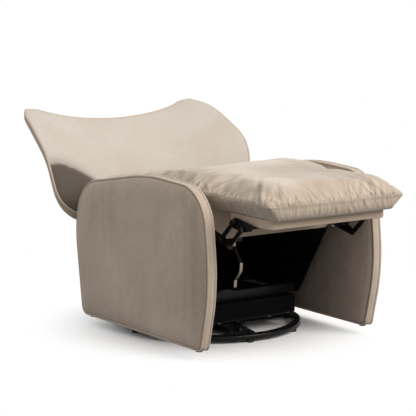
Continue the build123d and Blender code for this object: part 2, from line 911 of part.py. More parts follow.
# ================================================================ back
def back_outline(inset):
    """Outline of the back seen square on: narrow foot, wide wings, dipped top edge."""
    foot = back_foot_half - inset
    low = back_low + inset
    wing_foot = (wing_outline[0][0] - inset, wing_outline[0][1] + inset)
    shoulder = (back_shoulder[0] - inset, back_shoulder[1] + inset)
    wing = [(x - inset, t) for x, t in wing_outline[1:]]
    tip = (wing_tip_x - inset, wing_tip - inset)
    dip = [(x, back_top + rise - inset) for x, rise in top_dip]
    Polyline((0, low), (foot, low), (foot, back_neck), shoulder, wing_foot)
    Spline(wing_foot, *wing, tip)
    Spline(tip, *dip)
    mirror(about=Plane.YZ)


def layer_section(t, front_centre, front_edge, rear_centre, rear_edge):
    """Cross section of one layer of the back: two shallow arcs joined at the wing edges."""
    with BuildSketch(back_plane(t)) as section:
        with BuildLine():
            ThreePointArc((-edge_half, front_edge), (0, front_centre), (edge_half, front_edge))
            Line((edge_half, front_edge), (edge_half, rear_edge))
            ThreePointArc((edge_half, rear_edge), (0, rear_centre), (-edge_half, rear_edge))
            Line((-edge_half, rear_edge), (-edge_half, front_edge))
        make_face()
    return section.sketch


def back_layer(front_share, rear_share, inset):
    """One layer of the back, cut to the back's outline.

    front_share and rear_share give (pad, shell, cover) shares of thickness in front of the
    layer's two faces, and a last number for the gap there.
    """
    sections = []
    for t, centre, wing, pad in back_sections:
        at_centre = (pad, shell_centre, cover_centre)
        at_edge = (min(wing_pad, pad), shell_edge, cover_edge)
        faces = []
        for share in (front_share, rear_share):
            centre_depth = sum(s * size for s, size in zip(share, at_centre)) + share[3]
            edge_depth = sum(s * size for s, size in zip(share, at_edge)) + share[3]
            faces += [centre - centre_depth, centre + wing - edge_depth]
        sections.append(layer_section(t, *faces))
    with BuildPart() as layer:
        loft(sections=sections)
        with BuildSketch(face_plane(0)):
            with BuildLine():
                back_outline(inset)
            make_face()
        extrude(amount=back_cut_reach, both=True, mode=Mode.INTERSECT)
    return layer


save(back_layer((0, 0, 0, 0), (1, 0, 0, 0), 0), "back_inner_pad")
save(back_layer((1, 1, 0, back_gap), (1, 1, 1, 0), 0), "back_cover")

hinge_root = back_point(hinge_root_t, hinge_root_n)
hinge_tip = back_point(hinge_tip_t, hinge_tip_n)
rod_place = back_point(cross_rod_t, cross_rod_n)
recline_place = (recline_y, recline_z)


def hinge_stretch(first, first_radius, second, second_radius):
    """A flat stretch between two round ends, added to the sketch."""
    with BuildSketch(mode=Mode.PRIVATE) as stretch:
        with Locations(first):
            Circle(first_radius)
        with Locations(second):
            Circle(second_radius)
        make_hull()
    add(stretch.sketch)


shell_solid = back_layer((1, 0, 0, back_gap), (1, 1, 0, 0), shell_inset)
with BuildPart() as back_shell:
    add(shell_solid.part)
    slot = hinge_half_width + skin_gap
    for side in (1, -1):
        with BuildSketch(side_plane(side * (link_layer_1 - skin_gap))):
            hinge_stretch(hinge_root, slot, hinge_tip, slot)
            hinge_stretch(rod_place, slot, hinge_root, slot)
        extrude(amount=side * (hinge_thick + 2 * skin_gap), mode=Mode.SUBTRACT)
save(back_shell, "back_shell")

with BuildPart() as back_hinge:
    with BuildSketch(side_plane(link_layer_1)):
        hinge_stretch(recline_place, hinge_boss, rod_place, hinge_rod_boss)
        hinge_stretch(rod_place, hinge_rod_boss, hinge_root, hinge_half_width)
        hinge_stretch(hinge_root, hinge_half_width, hinge_tip, hinge_half_width)
        with Locations(recline_place):
            Circle(recline_pin_radius + running_gap, mode=Mode.SUBTRACT)
    extrude(amount=hinge_thick)
save_both(back_hinge, "back_hinges")

with BuildPart() as back_rod:
    with BuildSketch(side_plane(-link_layer_1)):
        with Locations(rod_place):
            Circle(cross_rod_radius)
    extrude(amount=2 * link_layer_1)
save(back_rod, "back_rod")

with BuildPart() as recline_pins:
    outer_head = link_layer_1 + hinge_thick + washer_gap
    for side in (1, -1):
        with BuildSketch(side_plane(side * plate_half_gap)):
            with Locations(recline_place):
                Circle(recline_pin_head)
        extrude(amount=-side * recline_pin_head_height)
        with BuildSketch(side_plane(side * plate_half_gap)):
            with Locations(recline_place):
                Circle(recline_pin_radius)
        extrude(amount=side * (outer_head - plate_half_gap))
        with BuildSketch(side_plane(side * outer_head)):
            with Locations(recline_place):
                Circle(recline_pin_head)
        extrude(amount=side * recline_pin_head_height)
save(recline_pins, "recline_pins")

piping_front = (0, 0, 0, piping_back)
piping_rear = (0, 0, 0, piping_back + 2 * piping_radius)
piping_band = back_layer(piping_front, piping_rear, -piping_radius - skin_gap)
with BuildPart() as back_piping:
    add(piping_band.part)
    with BuildSketch(face_plane(0)):
        with BuildLine():
            back_outline(-skin_gap)
        make_face()
    extrude(amount=back_cut_reach, both=True, mode=Mode.SUBTRACT)
save(back_piping, "back_piping")

# ================================================================ release lever
rail_rear_face = rail_front_y + rail_thick
lever_pin_place = (lever_pin_y, lever_pin_z)
ear_inner_low = lever_x - lever_width / 2 - washer_gap
ear_inner_high = lever_x + lever_width / 2 + spring_room + washer_gap

with BuildPart() as lever_bracket:
    with BuildSketch(Plane.XZ.offset(-rail_rear_face)):
        with Locations(((ear_inner_low + ear_inner_high) / 2, lever_pin_z + lever_plate_rise)):
            Rectangle(ear_inner_high - ear_inner_low + 2 * ear_thick, lever_plate_height)
    extrude(amount=-ear_thick)
    for start, out in ((ear_inner_low, -1), (ear_inner_high, 1)):
        with BuildSketch(side_plane(start)):
            with Locations(lever_pin_place):
                Circle(lever_hub_radius)
            with Locations((rail_rear_face + ear_thick / 2, lever_pin_z)):
                Rectangle(ear_thick, 2 * lever_hub_radius)
            make_hull()
            with Locations(lever_pin_place):
                Circle(lever_pin_radius + bolt_gap, mode=Mode.SUBTRACT)
        extrude(amount=out * ear_thick)
save(lever_bracket, "lever_bracket")

with BuildPart() as lever_pin:
    with BuildSketch(side_plane(ear_inner_low - ear_thick)):
        with Locations(lever_pin_place):
            Circle(lever_pin_radius)
    extrude(amount=ear_inner_high - ear_inner_low + 2 * ear_thick)
    for start, out in ((ear_inner_low - ear_thick, -1), (ear_inner_high + ear_thick, 1)):
        with BuildSketch(side_plane(start)):
            with Locations(lever_pin_place):
                Circle(lever_pin_head)
        extrude(amount=out * lever_pin_head_height)
save(lever_pin, "lever_pin")

with BuildPart() as lever_spring:
    with BuildSketch(side_plane(lever_x + lever_width / 2 + washer_gap)):
        with Locations(lever_pin_place):
            Circle(spring_outer)
            Circle(spring_inner, mode=Mode.SUBTRACT)
    extrude(amount=spring_room - washer_gap)
save(lever_spring, "lever_spring")

with BuildPart() as release_lever:
    with BuildSketch(side_plane(lever_x - lever_width / 2)):
        with BuildLine() as lever_centre:
            FilletPolyline(*lever_path, radius=lever_bends)
        trace(lever_centre.line, lever_thick)
        with Locations(lever_pin_place):
            Circle(lever_hub_radius)
        with Locations(lever_path[-1]):
            Circle(lever_thick / 2)
        with Locations(lever_pin_place):
            Circle(lever_pin_radius + running_gap, mode=Mode.SUBTRACT)
    extrude(amount=lever_width)
save(release_lever, "release_lever")
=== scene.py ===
"""Looks of a push-back swivel recliner: velvet wing back, slab arms, one chaise pad, steel linkage."""
import json
import logging
import math
from dataclasses import dataclass
from enum import Enum
from typing import Sequence

import bpy
import numpy as np
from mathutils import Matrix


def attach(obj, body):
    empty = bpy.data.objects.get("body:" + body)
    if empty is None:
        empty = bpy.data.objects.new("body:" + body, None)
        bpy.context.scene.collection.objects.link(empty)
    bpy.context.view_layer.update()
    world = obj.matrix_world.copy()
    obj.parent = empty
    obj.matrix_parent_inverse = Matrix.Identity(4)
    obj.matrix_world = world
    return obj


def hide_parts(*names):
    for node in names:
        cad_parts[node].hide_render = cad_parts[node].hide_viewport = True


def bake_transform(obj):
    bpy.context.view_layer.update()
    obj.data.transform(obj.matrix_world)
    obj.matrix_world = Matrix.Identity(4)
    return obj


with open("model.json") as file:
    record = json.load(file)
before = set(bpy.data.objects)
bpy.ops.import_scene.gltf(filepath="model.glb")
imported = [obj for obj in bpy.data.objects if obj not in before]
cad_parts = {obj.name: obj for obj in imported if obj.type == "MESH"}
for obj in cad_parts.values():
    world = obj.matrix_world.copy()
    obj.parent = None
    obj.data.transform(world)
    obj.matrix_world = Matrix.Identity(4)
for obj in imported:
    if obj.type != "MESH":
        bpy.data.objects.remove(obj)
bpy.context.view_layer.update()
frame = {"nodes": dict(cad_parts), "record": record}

LOG = logging.getLogger("recliner")
Colour = tuple[float, float, float]
Point2 = tuple[float, float]


# ---------------------------------------------------------------- numbers and curves
class LatticeNoise:
    """Smooth repeatable noise: random values on a lattice, blended between its points."""

    SIZE = 48

    def __init__(self, seed: int) -> None:
        """Fill the lattice from one seed."""
        self.values = np.random.default_rng(seed).random((self.SIZE,) * 3)

    def __call__(self, a: np.ndarray, b: np.ndarray, c: np.ndarray) -> np.ndarray:
        """Noise from 0 to 1 at points whose lattice cells have unit size.

        Args:
            a: First coordinates.
            b: Second coordinates.
            c: Third coordinates.

        Returns:
            One value for each point.
        """
        total = np.zeros(np.shape(a))
        cells = [np.floor(v).astype(int) for v in (a, b, c)]
        shares = [v - cell for v, cell in zip((a, b, c), cells)]
        shares = [s * s * (3 - 2 * s) for s in shares]
        for corner in range(8):
            steps = [(corner >> k) & 1 for k in range(3)]
            weight = np.ones(np.shape(a))
            for share, step in zip(shares, steps):
                weight = weight * (share if step else 1 - share)
            index = [(cell + step) % self.SIZE for cell, step in zip(cells, steps)]
            total += weight * self.values[index[0], index[1], index[2]]
        return total

    def folds(self, a: np.ndarray, b: np.ndarray, c: np.ndarray) -> np.ndarray:
        """Cloth-like folds from 0 to 1, with sharp valleys and round crests."""
        return np.sqrt(np.abs(2 * self(a, b, c) - 1))


def natural_spline(knots: Sequence[float], values: Sequence[float], at: np.ndarray) -> np.ndarray:
    """Values of the natural cubic spline through the knots.

    Args:
        knots: Rising places.
        values: The value at each of them.
        at: Where the spline is wanted.

    Returns:
        The spline's values there.
    """
    x, y = np.asarray(knots, float), np.asarray(values, float)
    gap = np.diff(x)
    size = len(x)
    system = np.eye(size)
    right = np.zeros(size)
    for i in range(1, size - 1):
        system[i, i - 1], system[i, i + 1] = gap[i - 1], gap[i]
        system[i, i] = 2 * (gap[i - 1] + gap[i])
        right[i] = 6 * ((y[i + 1] - y[i]) / gap[i] - (y[i] - y[i - 1]) / gap[i - 1])
    bend = np.linalg.solve(system, right)
    k = np.clip(np.searchsorted(x, at) - 1, 0, size - 2)
    before, after = x[k + 1] - at, at - x[k]
    return (
        (bend[k] * before**3 + bend[k + 1] * after**3) / (6 * gap[k])
        + (y[k] / gap[k] - bend[k] * gap[k] / 6) * before
        + (y[k + 1] / gap[k] - bend[k + 1] * gap[k] / 6) * after
    )


def smooth_line(points: Sequence[Point2], count: int) -> np.ndarray:
    """Points spaced evenly along a smooth curve.

    Args:
        points: Places that the curve goes through.
        count: How many points to return.

    Returns:
        count x 2 places.
    """
    p = np.asarray(points, float)
    length = np.concatenate([[0], np.cumsum(np.hypot(*np.diff(p, axis=0).T))])
    fine = np.linspace(0, length[-1], 400)
    curve = np.stack([natural_spline(length, p[:, k], fine) for k in (0, 1)], axis=1)
    return even_line(curve, count)


def even_line(points: np.ndarray, count: int) -> np.ndarray:
    """Points spaced evenly along a polyline.

    Args:
        points: N x 2 corners of the line.
        count: How many points to return.

    Returns:
        count x 2 places.
    """
    p = np.asarray(points, float)
    length = np.concatenate([[0], np.cumsum(np.hypot(*np.diff(p, axis=0).T))])
    at = np.linspace(0, length[-1], count)
    return np.stack([np.interp(at, length, p[:, k]) for k in (0, 1)], axis=1)


def round_rise(distance: np.ndarray, reach: float) -> np.ndarray:
    """Quarter-circle rise from 0 at the edge to 1 at reach."""
    left = 1 - np.clip(distance / reach, 0, 1)
    return np.sqrt(np.clip(1 - left * left, 0, 1))


def soft_step(value: np.ndarray, low: float, high: float) -> np.ndarray:
    """Smooth step from 0 at low to 1 at high."""
    share = np.clip((value - low) / (high - low), 0, 1)
    return share * share * (3 - 2 * share)


# ---------------------------------------------------------------- meshes
def new_piece(name: str, points: np.ndarray, faces: Sequence[Sequence[int]]) -> bpy.types.Object:
    """A smooth-shaded mesh object in the row frame.

    Args:
        name: The piece's name.
        points: N x 3 places in metres.
        faces: Vertex numbers of each face.

    Returns:
        The object, linked to the scene.
    """
    mesh = bpy.data.meshes.new(name)
    mesh.from_pydata([tuple(p) for p in points], [], [tuple(f) for f in faces])
    mesh.validate()
    mesh.shade_smooth()
    piece = bpy.data.objects.new(name, mesh)
    bpy.context.scene.collection.objects.link(piece)
    return piece


def grid_faces(rows: int, columns: int, start: int = 0, closed: bool = False) -> list[tuple[int, ...]]:
    """Quads over a grid of vertices stored row by row.

    Args:
        rows: Rows of vertices.
        columns: Vertices in each row.
        start: Number of the first vertex.
        closed: Whether each row goes round and meets itself.

    Returns:
        The vertex numbers of each face.
    """
    faces = []
    for r in range(rows - 1):
        for c in range(columns if closed else columns - 1):
            d = (c + 1) % columns
            low, high = start + r * columns, start + (r + 1) * columns
            faces.append((low + c, low + d, high + d, high + c))
    return faces


def two_sheets(name: str, front: np.ndarray, rear: np.ndarray) -> bpy.types.Object:
    """A closed piece made of two grids that share their border.

    Args:
        name: The piece's name.
        front: rows x columns x 3 places of one sheet, whose border both use.
        rear: The other sheet, on the same grid.

    Returns:
        The object.
    """
    rows, columns = front.shape[:2]
    points = list(front.reshape(-1, 3))
    numbers = np.arange(rows * columns).reshape(rows, columns)
    other = numbers.copy()
    for r in range(1, rows - 1):
        for c in range(1, columns - 1):
            other[r, c] = len(points)
            points.append(rear[r, c])
    faces = []
    for r in range(rows - 1):
        for c in range(columns - 1):
            faces.append((numbers[r, c], numbers[r, c + 1], numbers[r + 1, c + 1], numbers[r + 1, c]))
            faces.append((other[r, c], other[r + 1, c], other[r + 1, c + 1], other[r, c + 1]))
    return new_piece(name, np.array(points), faces)


def tube_along(name: str, path: np.ndarray, radius: float, sides: int, closed: bool) -> bpy.types.Object:
    """A round cord along a path of points.

    Args:
        name: The piece's name.
        path: N x 3 places of its middle.
        radius: Its radius.
        sides: Vertices around it.
        closed: Whether its ends meet.

    Returns:
        The object.
    """
    count = len(path)
    if closed:
        ahead = np.roll(path, -1, axis=0) - np.roll(path, 1, axis=0)
    else:
        ahead = np.gradient(path, axis=0)
    ahead /= np.linalg.norm(ahead, axis=1)[:, None]
    side = np.cross(ahead[0], (0.3, 0.2, 0.9))
    points = []
    for k in range(count):
        side = side - ahead[k] * (side @ ahead[k])
        side /= np.linalg.norm(side)
        up = np.cross(ahead[k], side)
        for turn in np.linspace(0, 2 * math.pi, sides, endpoint=False):
            points.append(path[k] + radius * (side * math.cos(turn) + up * math.sin(turn)))
    faces = grid_faces(count, sides, closed=True)
    if closed:
        last = (count - 1) * sides
        shift = int(np.argmin([np.linalg.norm(points[last] - points[k]) for k in range(sides)]))
        for c in range(sides):
            d = (c + 1) % sides
            faces.append((last + c, last + d, (d + shift) % sides, (c + shift) % sides))
    else:
        faces.append(tuple(range(sides - 1, -1, -1)))
        faces.append(tuple(range((count - 1) * sides, count * sides)))
    return new_piece(name, np.array(points), faces)


def coordinates(piece: bpy.types.Object) -> np.ndarray:
    """The piece's vertices as N x 3 numbers."""
    flat = np.zeros(len(piece.data.vertices) * 3)
    piece.data.vertices.foreach_get("co", flat)
    return flat.reshape(-1, 3)


def normals(piece: bpy.types.Object) -> np.ndarray:
    """The piece's vertex normals as N x 3 numbers."""
    flat = np.zeros(len(piece.data.vertices) * 3)
    piece.data.vertices.foreach_get("normal", flat)
    return flat.reshape(-1, 3)


def set_coordinates(piece: bpy.types.Object, points: np.ndarray) -> None:
    """Write the piece's vertices."""
    piece.data.vertices.foreach_set("co", np.asarray(points, np.float32).ravel())
    piece.data.update()


def set_shade(piece: bpy.types.Object, values: np.ndarray) -> None:
    """Store how much lighter or darker each vertex is painted: painted shade, painted highlight and the nap's
    own tone.

    Args:
        piece: The mesh object.
        values: From -1, painted lighter, to 1, painted darker, for each vertex.
    """
    old = piece.data.attributes.get("shade")
    layer = old or piece.data.attributes.new("shade", "FLOAT", "POINT")
    layer.data.foreach_set("value", np.asarray(values, np.float32))


def subdivide(piece: bpy.types.Object, levels: int) -> None:
    """Apply a subdivision surface.

    Args:
        piece: The mesh object.
        levels: How often each face is split.
    """
    modifier = piece.modifiers.new("round", "SUBSURF")
    modifier.levels = levels
    keep_modifiers(piece)


def keep_modifiers(piece: bpy.types.Object) -> None:
    """Replace the piece's mesh by what its modifiers make of it, and drop them."""
    graph = bpy.context.evaluated_depsgraph_get()
    made = bpy.data.meshes.new_from_object(piece.evaluated_get(graph))
    old = piece.data
    piece.modifiers.clear()
    piece.data = made
    made.name = piece.name
    bpy.data.meshes.remove(old)
    made.shade_smooth()


@dataclass(frozen=True)
class ClothPass:
    """A short cloth simulation that fills a cover and lets it pucker along its held seams."""

    pressure: float
    growth: float
    frames: int
    cap: float
    bending: float

    def run(self, piece: bpy.types.Object, held: np.ndarray) -> None:
        """Simulate the piece, cap how far its points go and keep the shape.

        Args:
            piece: The mesh object.
            held: Weight from 0, free, to 1, held still, for each vertex.
        """
        before = coordinates(piece)
        group = piece.vertex_groups.new(name="held")
        for weight in np.unique(np.round(held, 2)):
            if weight > 0:
                chosen = np.nonzero(np.round(held, 2) == weight)[0].tolist()
                group.add(chosen, float(weight), "REPLACE")
        modifier = piece.modifiers.new("fill", "CLOTH")
        cloth = modifier.settings
        cloth.quality = 7
        cloth.mass = 0.25
        cloth.tension_stiffness = 18
        cloth.compression_stiffness = 18
        cloth.shear_stiffness = 8
        cloth.bending_stiffness = self.bending
        cloth.use_pressure = True
        cloth.uniform_pressure_force = self.pressure
        cloth.shrink_min = -self.growth
        cloth.vertex_group_mass = group.name
        cloth.effector_weights.gravity = 0
        modifier.collision_settings.use_collision = False
        modifier.point_cache.frame_start = 1
        modifier.point_cache.frame_end = self.frames
        scene = bpy.context.scene
        for number in range(1, self.frames + 1):
            scene.frame_set(number)
        keep_modifiers(piece)
        scene.frame_set(1)
        moved = coordinates(piece) - before
        length = np.linalg.norm(moved, axis=1)
        scale = np.minimum(1, self.cap / np.maximum(length, 1e-9))
        set_coordinates(piece, before + moved * scale[:, None])


# ---------------------------------------------------------------- finishes
class Nodes:
    """Short forms for building one node tree."""

    def __init__(self, tree: bpy.types.NodeTree) -> None:
        """Hold the tree."""
        self.tree = tree

    def add(self, kind: str, **settings: object) -> bpy.types.Node:
        """A new node with its properties and input values set.

        Args:
            kind: Blender's name of the node.
            settings: Its properties, or the values of inputs, by name.

        Returns:
            The node.
        """
        node = self.tree.nodes.new(kind)
        for key, value in settings.items():
            if hasattr(node, key):
                setattr(node, key, value)
            else:
                node.inputs[key.replace("_", " ")].default_value = value
        return node

    def link(self, start: bpy.types.NodeSocket, end: bpy.types.NodeSocket) -> None:
        """Join two sockets."""
        self.tree.links.new(start, end)

    def ramp(self, start: bpy.types.NodeSocket, low: float, high: float) -> bpy.types.NodeSocket:
        """A value stretched between two limits and cut there.

        Args:
            start: The value.
            low: What becomes 0.
            high: What becomes 1.

        Returns:
            The stretched value.
        """
        node = self.add("ShaderNodeMapRange", clamp=True)
        node.inputs["From Min"].default_value = low
        node.inputs["From Max"].default_value = high
        self.link(start, node.inputs["Value"])
        return node.outputs["Result"]

    def mix(
        self,
        factor: bpy.types.NodeSocket,
        first: bpy.types.NodeSocket | Colour,
        second: bpy.types.NodeSocket | Colour,
    ) -> bpy.types.NodeSocket:
        """A colour between two.

        Args:
            factor: 0 for the first, 1 for the second.
            first: A colour or a socket.
            second: A colour or a socket.

        Returns:
            The mixed colour.
        """
        node = self.add("ShaderNodeMix", data_type="RGBA")
        self.link(factor, node.inputs["Factor"])
        for value, socket in ((first, node.inputs["A"]), (second, node.inputs["B"])):
            if isinstance(value, tuple):
                socket.default_value = (*value, 1)
            else:
                self.link(value, socket)
        return node.outputs["Result"]

    def maths(self, operation: str, *values: object) -> bpy.types.NodeSocket:
        """A Math node.

        Args:
            operation: Blender's name of the sum.
            values: Sockets or numbers, in order.

        Returns:
            The node's result.
        """
        node = self.add("ShaderNodeMath", operation=operation)
        for value, socket in zip(values, node.inputs):
            if isinstance(value, (int, float)):
                socket.default_value = value
            else:
                self.link(value, socket)
        return node.outputs["Value"]

    def noise(self, place: bpy.types.NodeSocket, **settings: float) -> bpy.types.NodeSocket:
        """A noise texture's value at a place."""
        node = self.add("ShaderNodeTexNoise", **settings)
        self.link(place, node.inputs["Vector"])
        return node.outputs["Fac"]


def new_group(name: str, inputs: dict[str, str], outputs: dict[str, str]) -> bpy.types.NodeTree:
    """An empty shader node group with typed sockets.

    Args:
        name: The group's name.
        inputs: Socket name to its kind, such as Float, Color or Vector.
        outputs: The same for what it puts out.

    Returns:
        The group's tree.
    """
    tree = bpy.data.node_groups.new(name, "ShaderNodeTree")
    for sockets, direction in ((inputs, "INPUT"), (outputs, "OUTPUT")):
        for label, kind in sockets.items():
            tree.interface.new_socket(label, in_out=direction, socket_type="NodeSocket" + kind)
    return tree


def pile_group() -> bpy.types.NodeTree:
    """Velvet pile: a nap that lies lighter and darker in patches, and short fibres."""
    name = "pile"
    if name in bpy.data.node_groups:
        return bpy.data.node_groups[name]
    tree = new_group(
        name,
        {"Colour": "Color", "Dark": "Color", "Patch Size": "Float", "Patches": "Float"},
        {"Colour": "Color", "Roughness": "Float", "Height": "Float"},
    )
    n = Nodes(tree)
    given, out = n.add("NodeGroupInput"), n.add("NodeGroupOutput")
    place = n.add("ShaderNodeTexCoord").outputs["Object"]
    patch = n.add("ShaderNodeTexNoise", Detail=3.0, Roughness=0.55, Distortion=0.6)
    n.link(place, patch.inputs["Vector"])
    n.link(given.outputs["Patch Size"], patch.inputs["Scale"])
    streak_map = n.add("ShaderNodeMapping")
    streak_map.inputs["Scale"].default_value = (26.0, 26.0, 5.0)
    n.link(place, streak_map.inputs["Vector"])
    streak = n.noise(streak_map.outputs["Vector"], Scale=1.0, Detail=2.0)
    fibre = n.noise(place, Scale=520.0, Detail=2.0)
    mottle = n.ramp(n.noise(place, Scale=62.0, Detail=4.0, Roughness=0.7), 0.3, 0.7)
    lie = n.maths("MULTIPLY_ADD", streak, 0.35, n.ramp(patch.outputs["Fac"], 0.3, 0.7))
    lie = n.maths("MULTIPLY", n.maths("MULTIPLY_ADD", mottle, 0.55, lie), 0.58)
    factor = n.maths("MULTIPLY", lie, given.outputs["Patches"])
    base = n.mix(factor, given.outputs["Colour"], given.outputs["Dark"])
    dim = n.add("ShaderNodeMix", data_type="RGBA", blend_type="MULTIPLY")
    dim.inputs["Factor"].default_value = 0.2
    n.link(base, dim.inputs["A"])
    n.link(fibre, dim.inputs["B"])
    n.link(dim.outputs["Result"], out.inputs["Colour"])
    n.link(n.maths("MULTIPLY_ADD", patch.outputs["Fac"], 0.12, 0.78), out.inputs["Roughness"])
    n.link(n.maths("MULTIPLY_ADD", fibre, 1.0, streak), out.inputs["Height"])
    return tree


def wear_group() -> bpy.types.NodeTree:
    """Handled hard surface: rubbed patches, fine scratches and a little dust."""
    name = "wear"
    if name in bpy.data.node_groups:
        return bpy.data.node_groups[name]
    tree = new_group(
        name,
        {"Colour": "Color", "Worn": "Color", "Size": "Float", "Amount": "Float", "Roughness": "Float"},
        {"Colour": "Color", "Roughness": "Float", "Height": "Float"},
    )
    n = Nodes(tree)
    given, out = n.add("NodeGroupInput"), n.add("NodeGroupOutput")
    place = n.add("ShaderNodeTexCoord").outputs["Object"]
    blotch = n.add("ShaderNodeTexNoise", Detail=5.0, Roughness=0.65)
    n.link(place, blotch.inputs["Vector"])
    n.link(given.outputs["Size"], blotch.inputs["Scale"])
    grain = n.noise(place, Scale=700.0, Detail=1.0)
    rubbed = n.maths("MULTIPLY", n.ramp(blotch.outputs["Fac"], 0.52, 0.72), given.outputs["Amount"])
    n.link(n.mix(rubbed, given.outputs["Colour"], given.outputs["Worn"]), out.inputs["Colour"])
    spread = n.maths("MULTIPLY_ADD", blotch.outputs["Fac"], 0.16, -0.08)
    n.link(n.maths("ADD", given.outputs["Roughness"], spread), out.inputs["Roughness"])
    n.link(grain, out.inputs["Height"])
    return tree


@dataclass(frozen=True)
class Finish:
    """A surface finish: a Principled surface fed by one of the shared groups."""

    name: str
    colour: Colour
    second: Colour

    def start(self) -> tuple[bpy.types.Material, Nodes, bpy.types.Node]:
        """A fresh material with its tree and its Principled node."""
        material = bpy.data.materials.new(self.name)
        material.use_nodes = True
        n = Nodes(material.node_tree)
        surface = material.node_tree.nodes["Principled BSDF"]
        return material, n, surface

    def bump(self, n: Nodes, height: bpy.types.NodeSocket, surface: bpy.types.Node, depth: float) -> None:
        """Feed a height into the surface's normal.

        Args:
            n: The material's nodes.
            height: Height from 0 to 1.
            surface: The Principled node.
            depth: What a height of 1 stands for, in metres.
        """
        node = n.add("ShaderNodeBump", Strength=1.0, Distance=depth)
        n.link(height, node.inputs["Height"])
        n.link(node.outputs["Normal"], surface.inputs["Normal"])


# colours that the shade attribute mixes in: the darker one for painted shade and darker nap, the lighter one
# for painted highlight and lighter nap
NAP_DARK_AND_PAINTED_SHADE: Colour = (0.13, 0.11, 0.10)
NAP_LIGHT_AND_PAINTED_HIGHLIGHT: Colour = (0.84, 0.77, 0.69)


@dataclass(frozen=True)
class Velvet(Finish):
    """Short cotton velvet."""

    patch_size: float = 5.0
    patches: float = 0.5
    depth: float = 0.0006
    sheen: float = 0.35

    def material(self) -> bpy.types.Material:
        """Build the material, which the mesh's own shade attribute darkens with painted shade and lightens with
        painted highlight, over the nap's own tone.
        """
        material, n, surface = self.start()
        pile = n.add("ShaderNodeGroup", node_tree=pile_group())
        pile.inputs["Colour"].default_value = (*self.colour, 1)
        pile.inputs["Dark"].default_value = (*self.second, 1)
        pile.inputs["Patch Size"].default_value = self.patch_size
        pile.inputs["Patches"].default_value = self.patches
        # the shade attribute paints highlight where it is below zero and paints shade where it is above, over
        # the nap's own lighter and darker tone
        shade = n.add("ShaderNodeAttribute", attribute_name="shade")
        lit = n.mix(n.maths("MULTIPLY", shade.outputs["Fac"], -1.0), pile.outputs["Colour"], NAP_LIGHT_AND_PAINTED_HIGHLIGHT)
        dark = n.add("ShaderNodeMix", data_type="RGBA", blend_type="MULTIPLY")
        dark.inputs["B"].default_value = (*NAP_DARK_AND_PAINTED_SHADE, 1)
        n.link(shade.outputs["Fac"], dark.inputs["Factor"])
        n.link(lit, dark.inputs["A"])
        n.link(dark.outputs["Result"], surface.inputs["Base Color"])
        n.link(pile.outputs["Roughness"], surface.inputs["Roughness"])
        self.bump(n, pile.outputs["Height"], surface, self.depth)
        surface.inputs["Sheen Weight"].default_value = self.sheen
        surface.inputs["Sheen Roughness"].default_value = 0.4
        surface.inputs["Sheen Tint"].default_value = (1.0, 0.98, 0.96, 1)
        surface.inputs["Specular IOR Level"].default_value = 0.15
        return material


@dataclass(frozen=True)
class Hard(Finish):
    """Metal, paint, plastic, rubber or board."""

    metallic: float = 0.0
    roughness: float = 0.4
    size: float = 30.0
    amount: float = 0.3
    depth: float = 0.0001
    coat: float = 0.0
    specular: float = 0.5

    def material(self) -> bpy.types.Material:
        """Build the material."""
        material, n, surface = self.start()
        wear = n.add("ShaderNodeGroup", node_tree=wear_group())
        wear.inputs["Colour"].default_value = (*self.colour, 1)
        wear.inputs["Worn"].default_value = (*self.second, 1)
        wear.inputs["Size"].default_value = self.size
        wear.inputs["Amount"].default_value = self.amount
        wear.inputs["Roughness"].default_value = self.roughness
        n.link(wear.outputs["Colour"], surface.inputs["Base Color"])
        n.link(wear.outputs["Roughness"], surface.inputs["Roughness"])
        self.bump(n, wear.outputs["Height"], surface, self.depth)
        surface.inputs["Metallic"].default_value = self.metallic
        surface.inputs["Specular IOR Level"].default_value = self.specular
        surface.inputs["Coat Weight"].default_value = self.coat
        surface.inputs["Coat Roughness"].default_value = 0.12
        return material


@dataclass(frozen=True)
class Grained(Finish):
    """Plywood or woven webbing: stripes along one axis."""

    stripes: float = 60.0
    axis: str = "X"
    roughness: float = 0.6

    def material(self) -> bpy.types.Material:
        """Build the material."""
        material, n, surface = self.start()
        place = n.add("ShaderNodeTexCoord").outputs["Object"]
        wave = n.add("ShaderNodeTexWave", bands_direction=self.axis, Scale=self.stripes, Distortion=4.0)
        wave.inputs["Detail"].default_value = 3.0
        n.link(place, wave.inputs["Vector"])
        n.link(n.mix(wave.outputs["Fac"], self.colour, self.second), surface.inputs["Base Color"])
        surface.inputs["Roughness"].default_value = self.roughness
        self.bump(n, wave.outputs["Fac"], surface, 0.0002)
        return material


VELVET_LIGHT: Colour = (0.61, 0.505, 0.41)
VELVET_DARK: Colour = (0.40, 0.315, 0.245)
# painted light: a lighter copy of the panel velvet, for the back
VELVET_PAINTED_LIGHTER: Colour = (0.60, 0.555, 0.50)
# painted shade: a darker copy of the panel velvet, for the pillow
VELVET_PAINTED_DARKER: Colour = (0.50, 0.41, 0.325)
BLACK: Colour = (0.007, 0.007, 0.0075)


class Cloth(Enum):
    """One velvet for every kind of surface, in copies: the back's is painted lighter for the light on it, the
    pillow's and the wrap's painted darker for the shade on them.
    """

    PANEL = Velvet("velvet_panel", VELVET_LIGHT, VELVET_DARK, patch_size=4.2, patches=0.8)
    # painted light: the back's copy is lighter than the panel velvet
    BACK = Velvet("velvet_back_painted_lighter", VELVET_PAINTED_LIGHTER, (0.52, 0.455, 0.385), patch_size=3.0, patches=1.0)
    # painted shade: the pillow's copy is darker than the panel velvet
    PILLOW = Velvet(
        "velvet_pillow_painted_darker", VELVET_PAINTED_DARKER, (0.40, 0.32, 0.25), patch_size=13.0, patches=0.7, depth=0.0009, sheen=0.45
    )
    # painted shade: the wrap's copy is darker than the panel velvet
    WRAP = Velvet("velvet_wrap_painted_darker", (0.56, 0.44, 0.34), VELVET_DARK, patch_size=6.0, patches=0.5)
    PIPING = Velvet("velvet_piping", (0.58, 0.47, 0.37), VELVET_DARK, patch_size=14.0, patches=0.5)


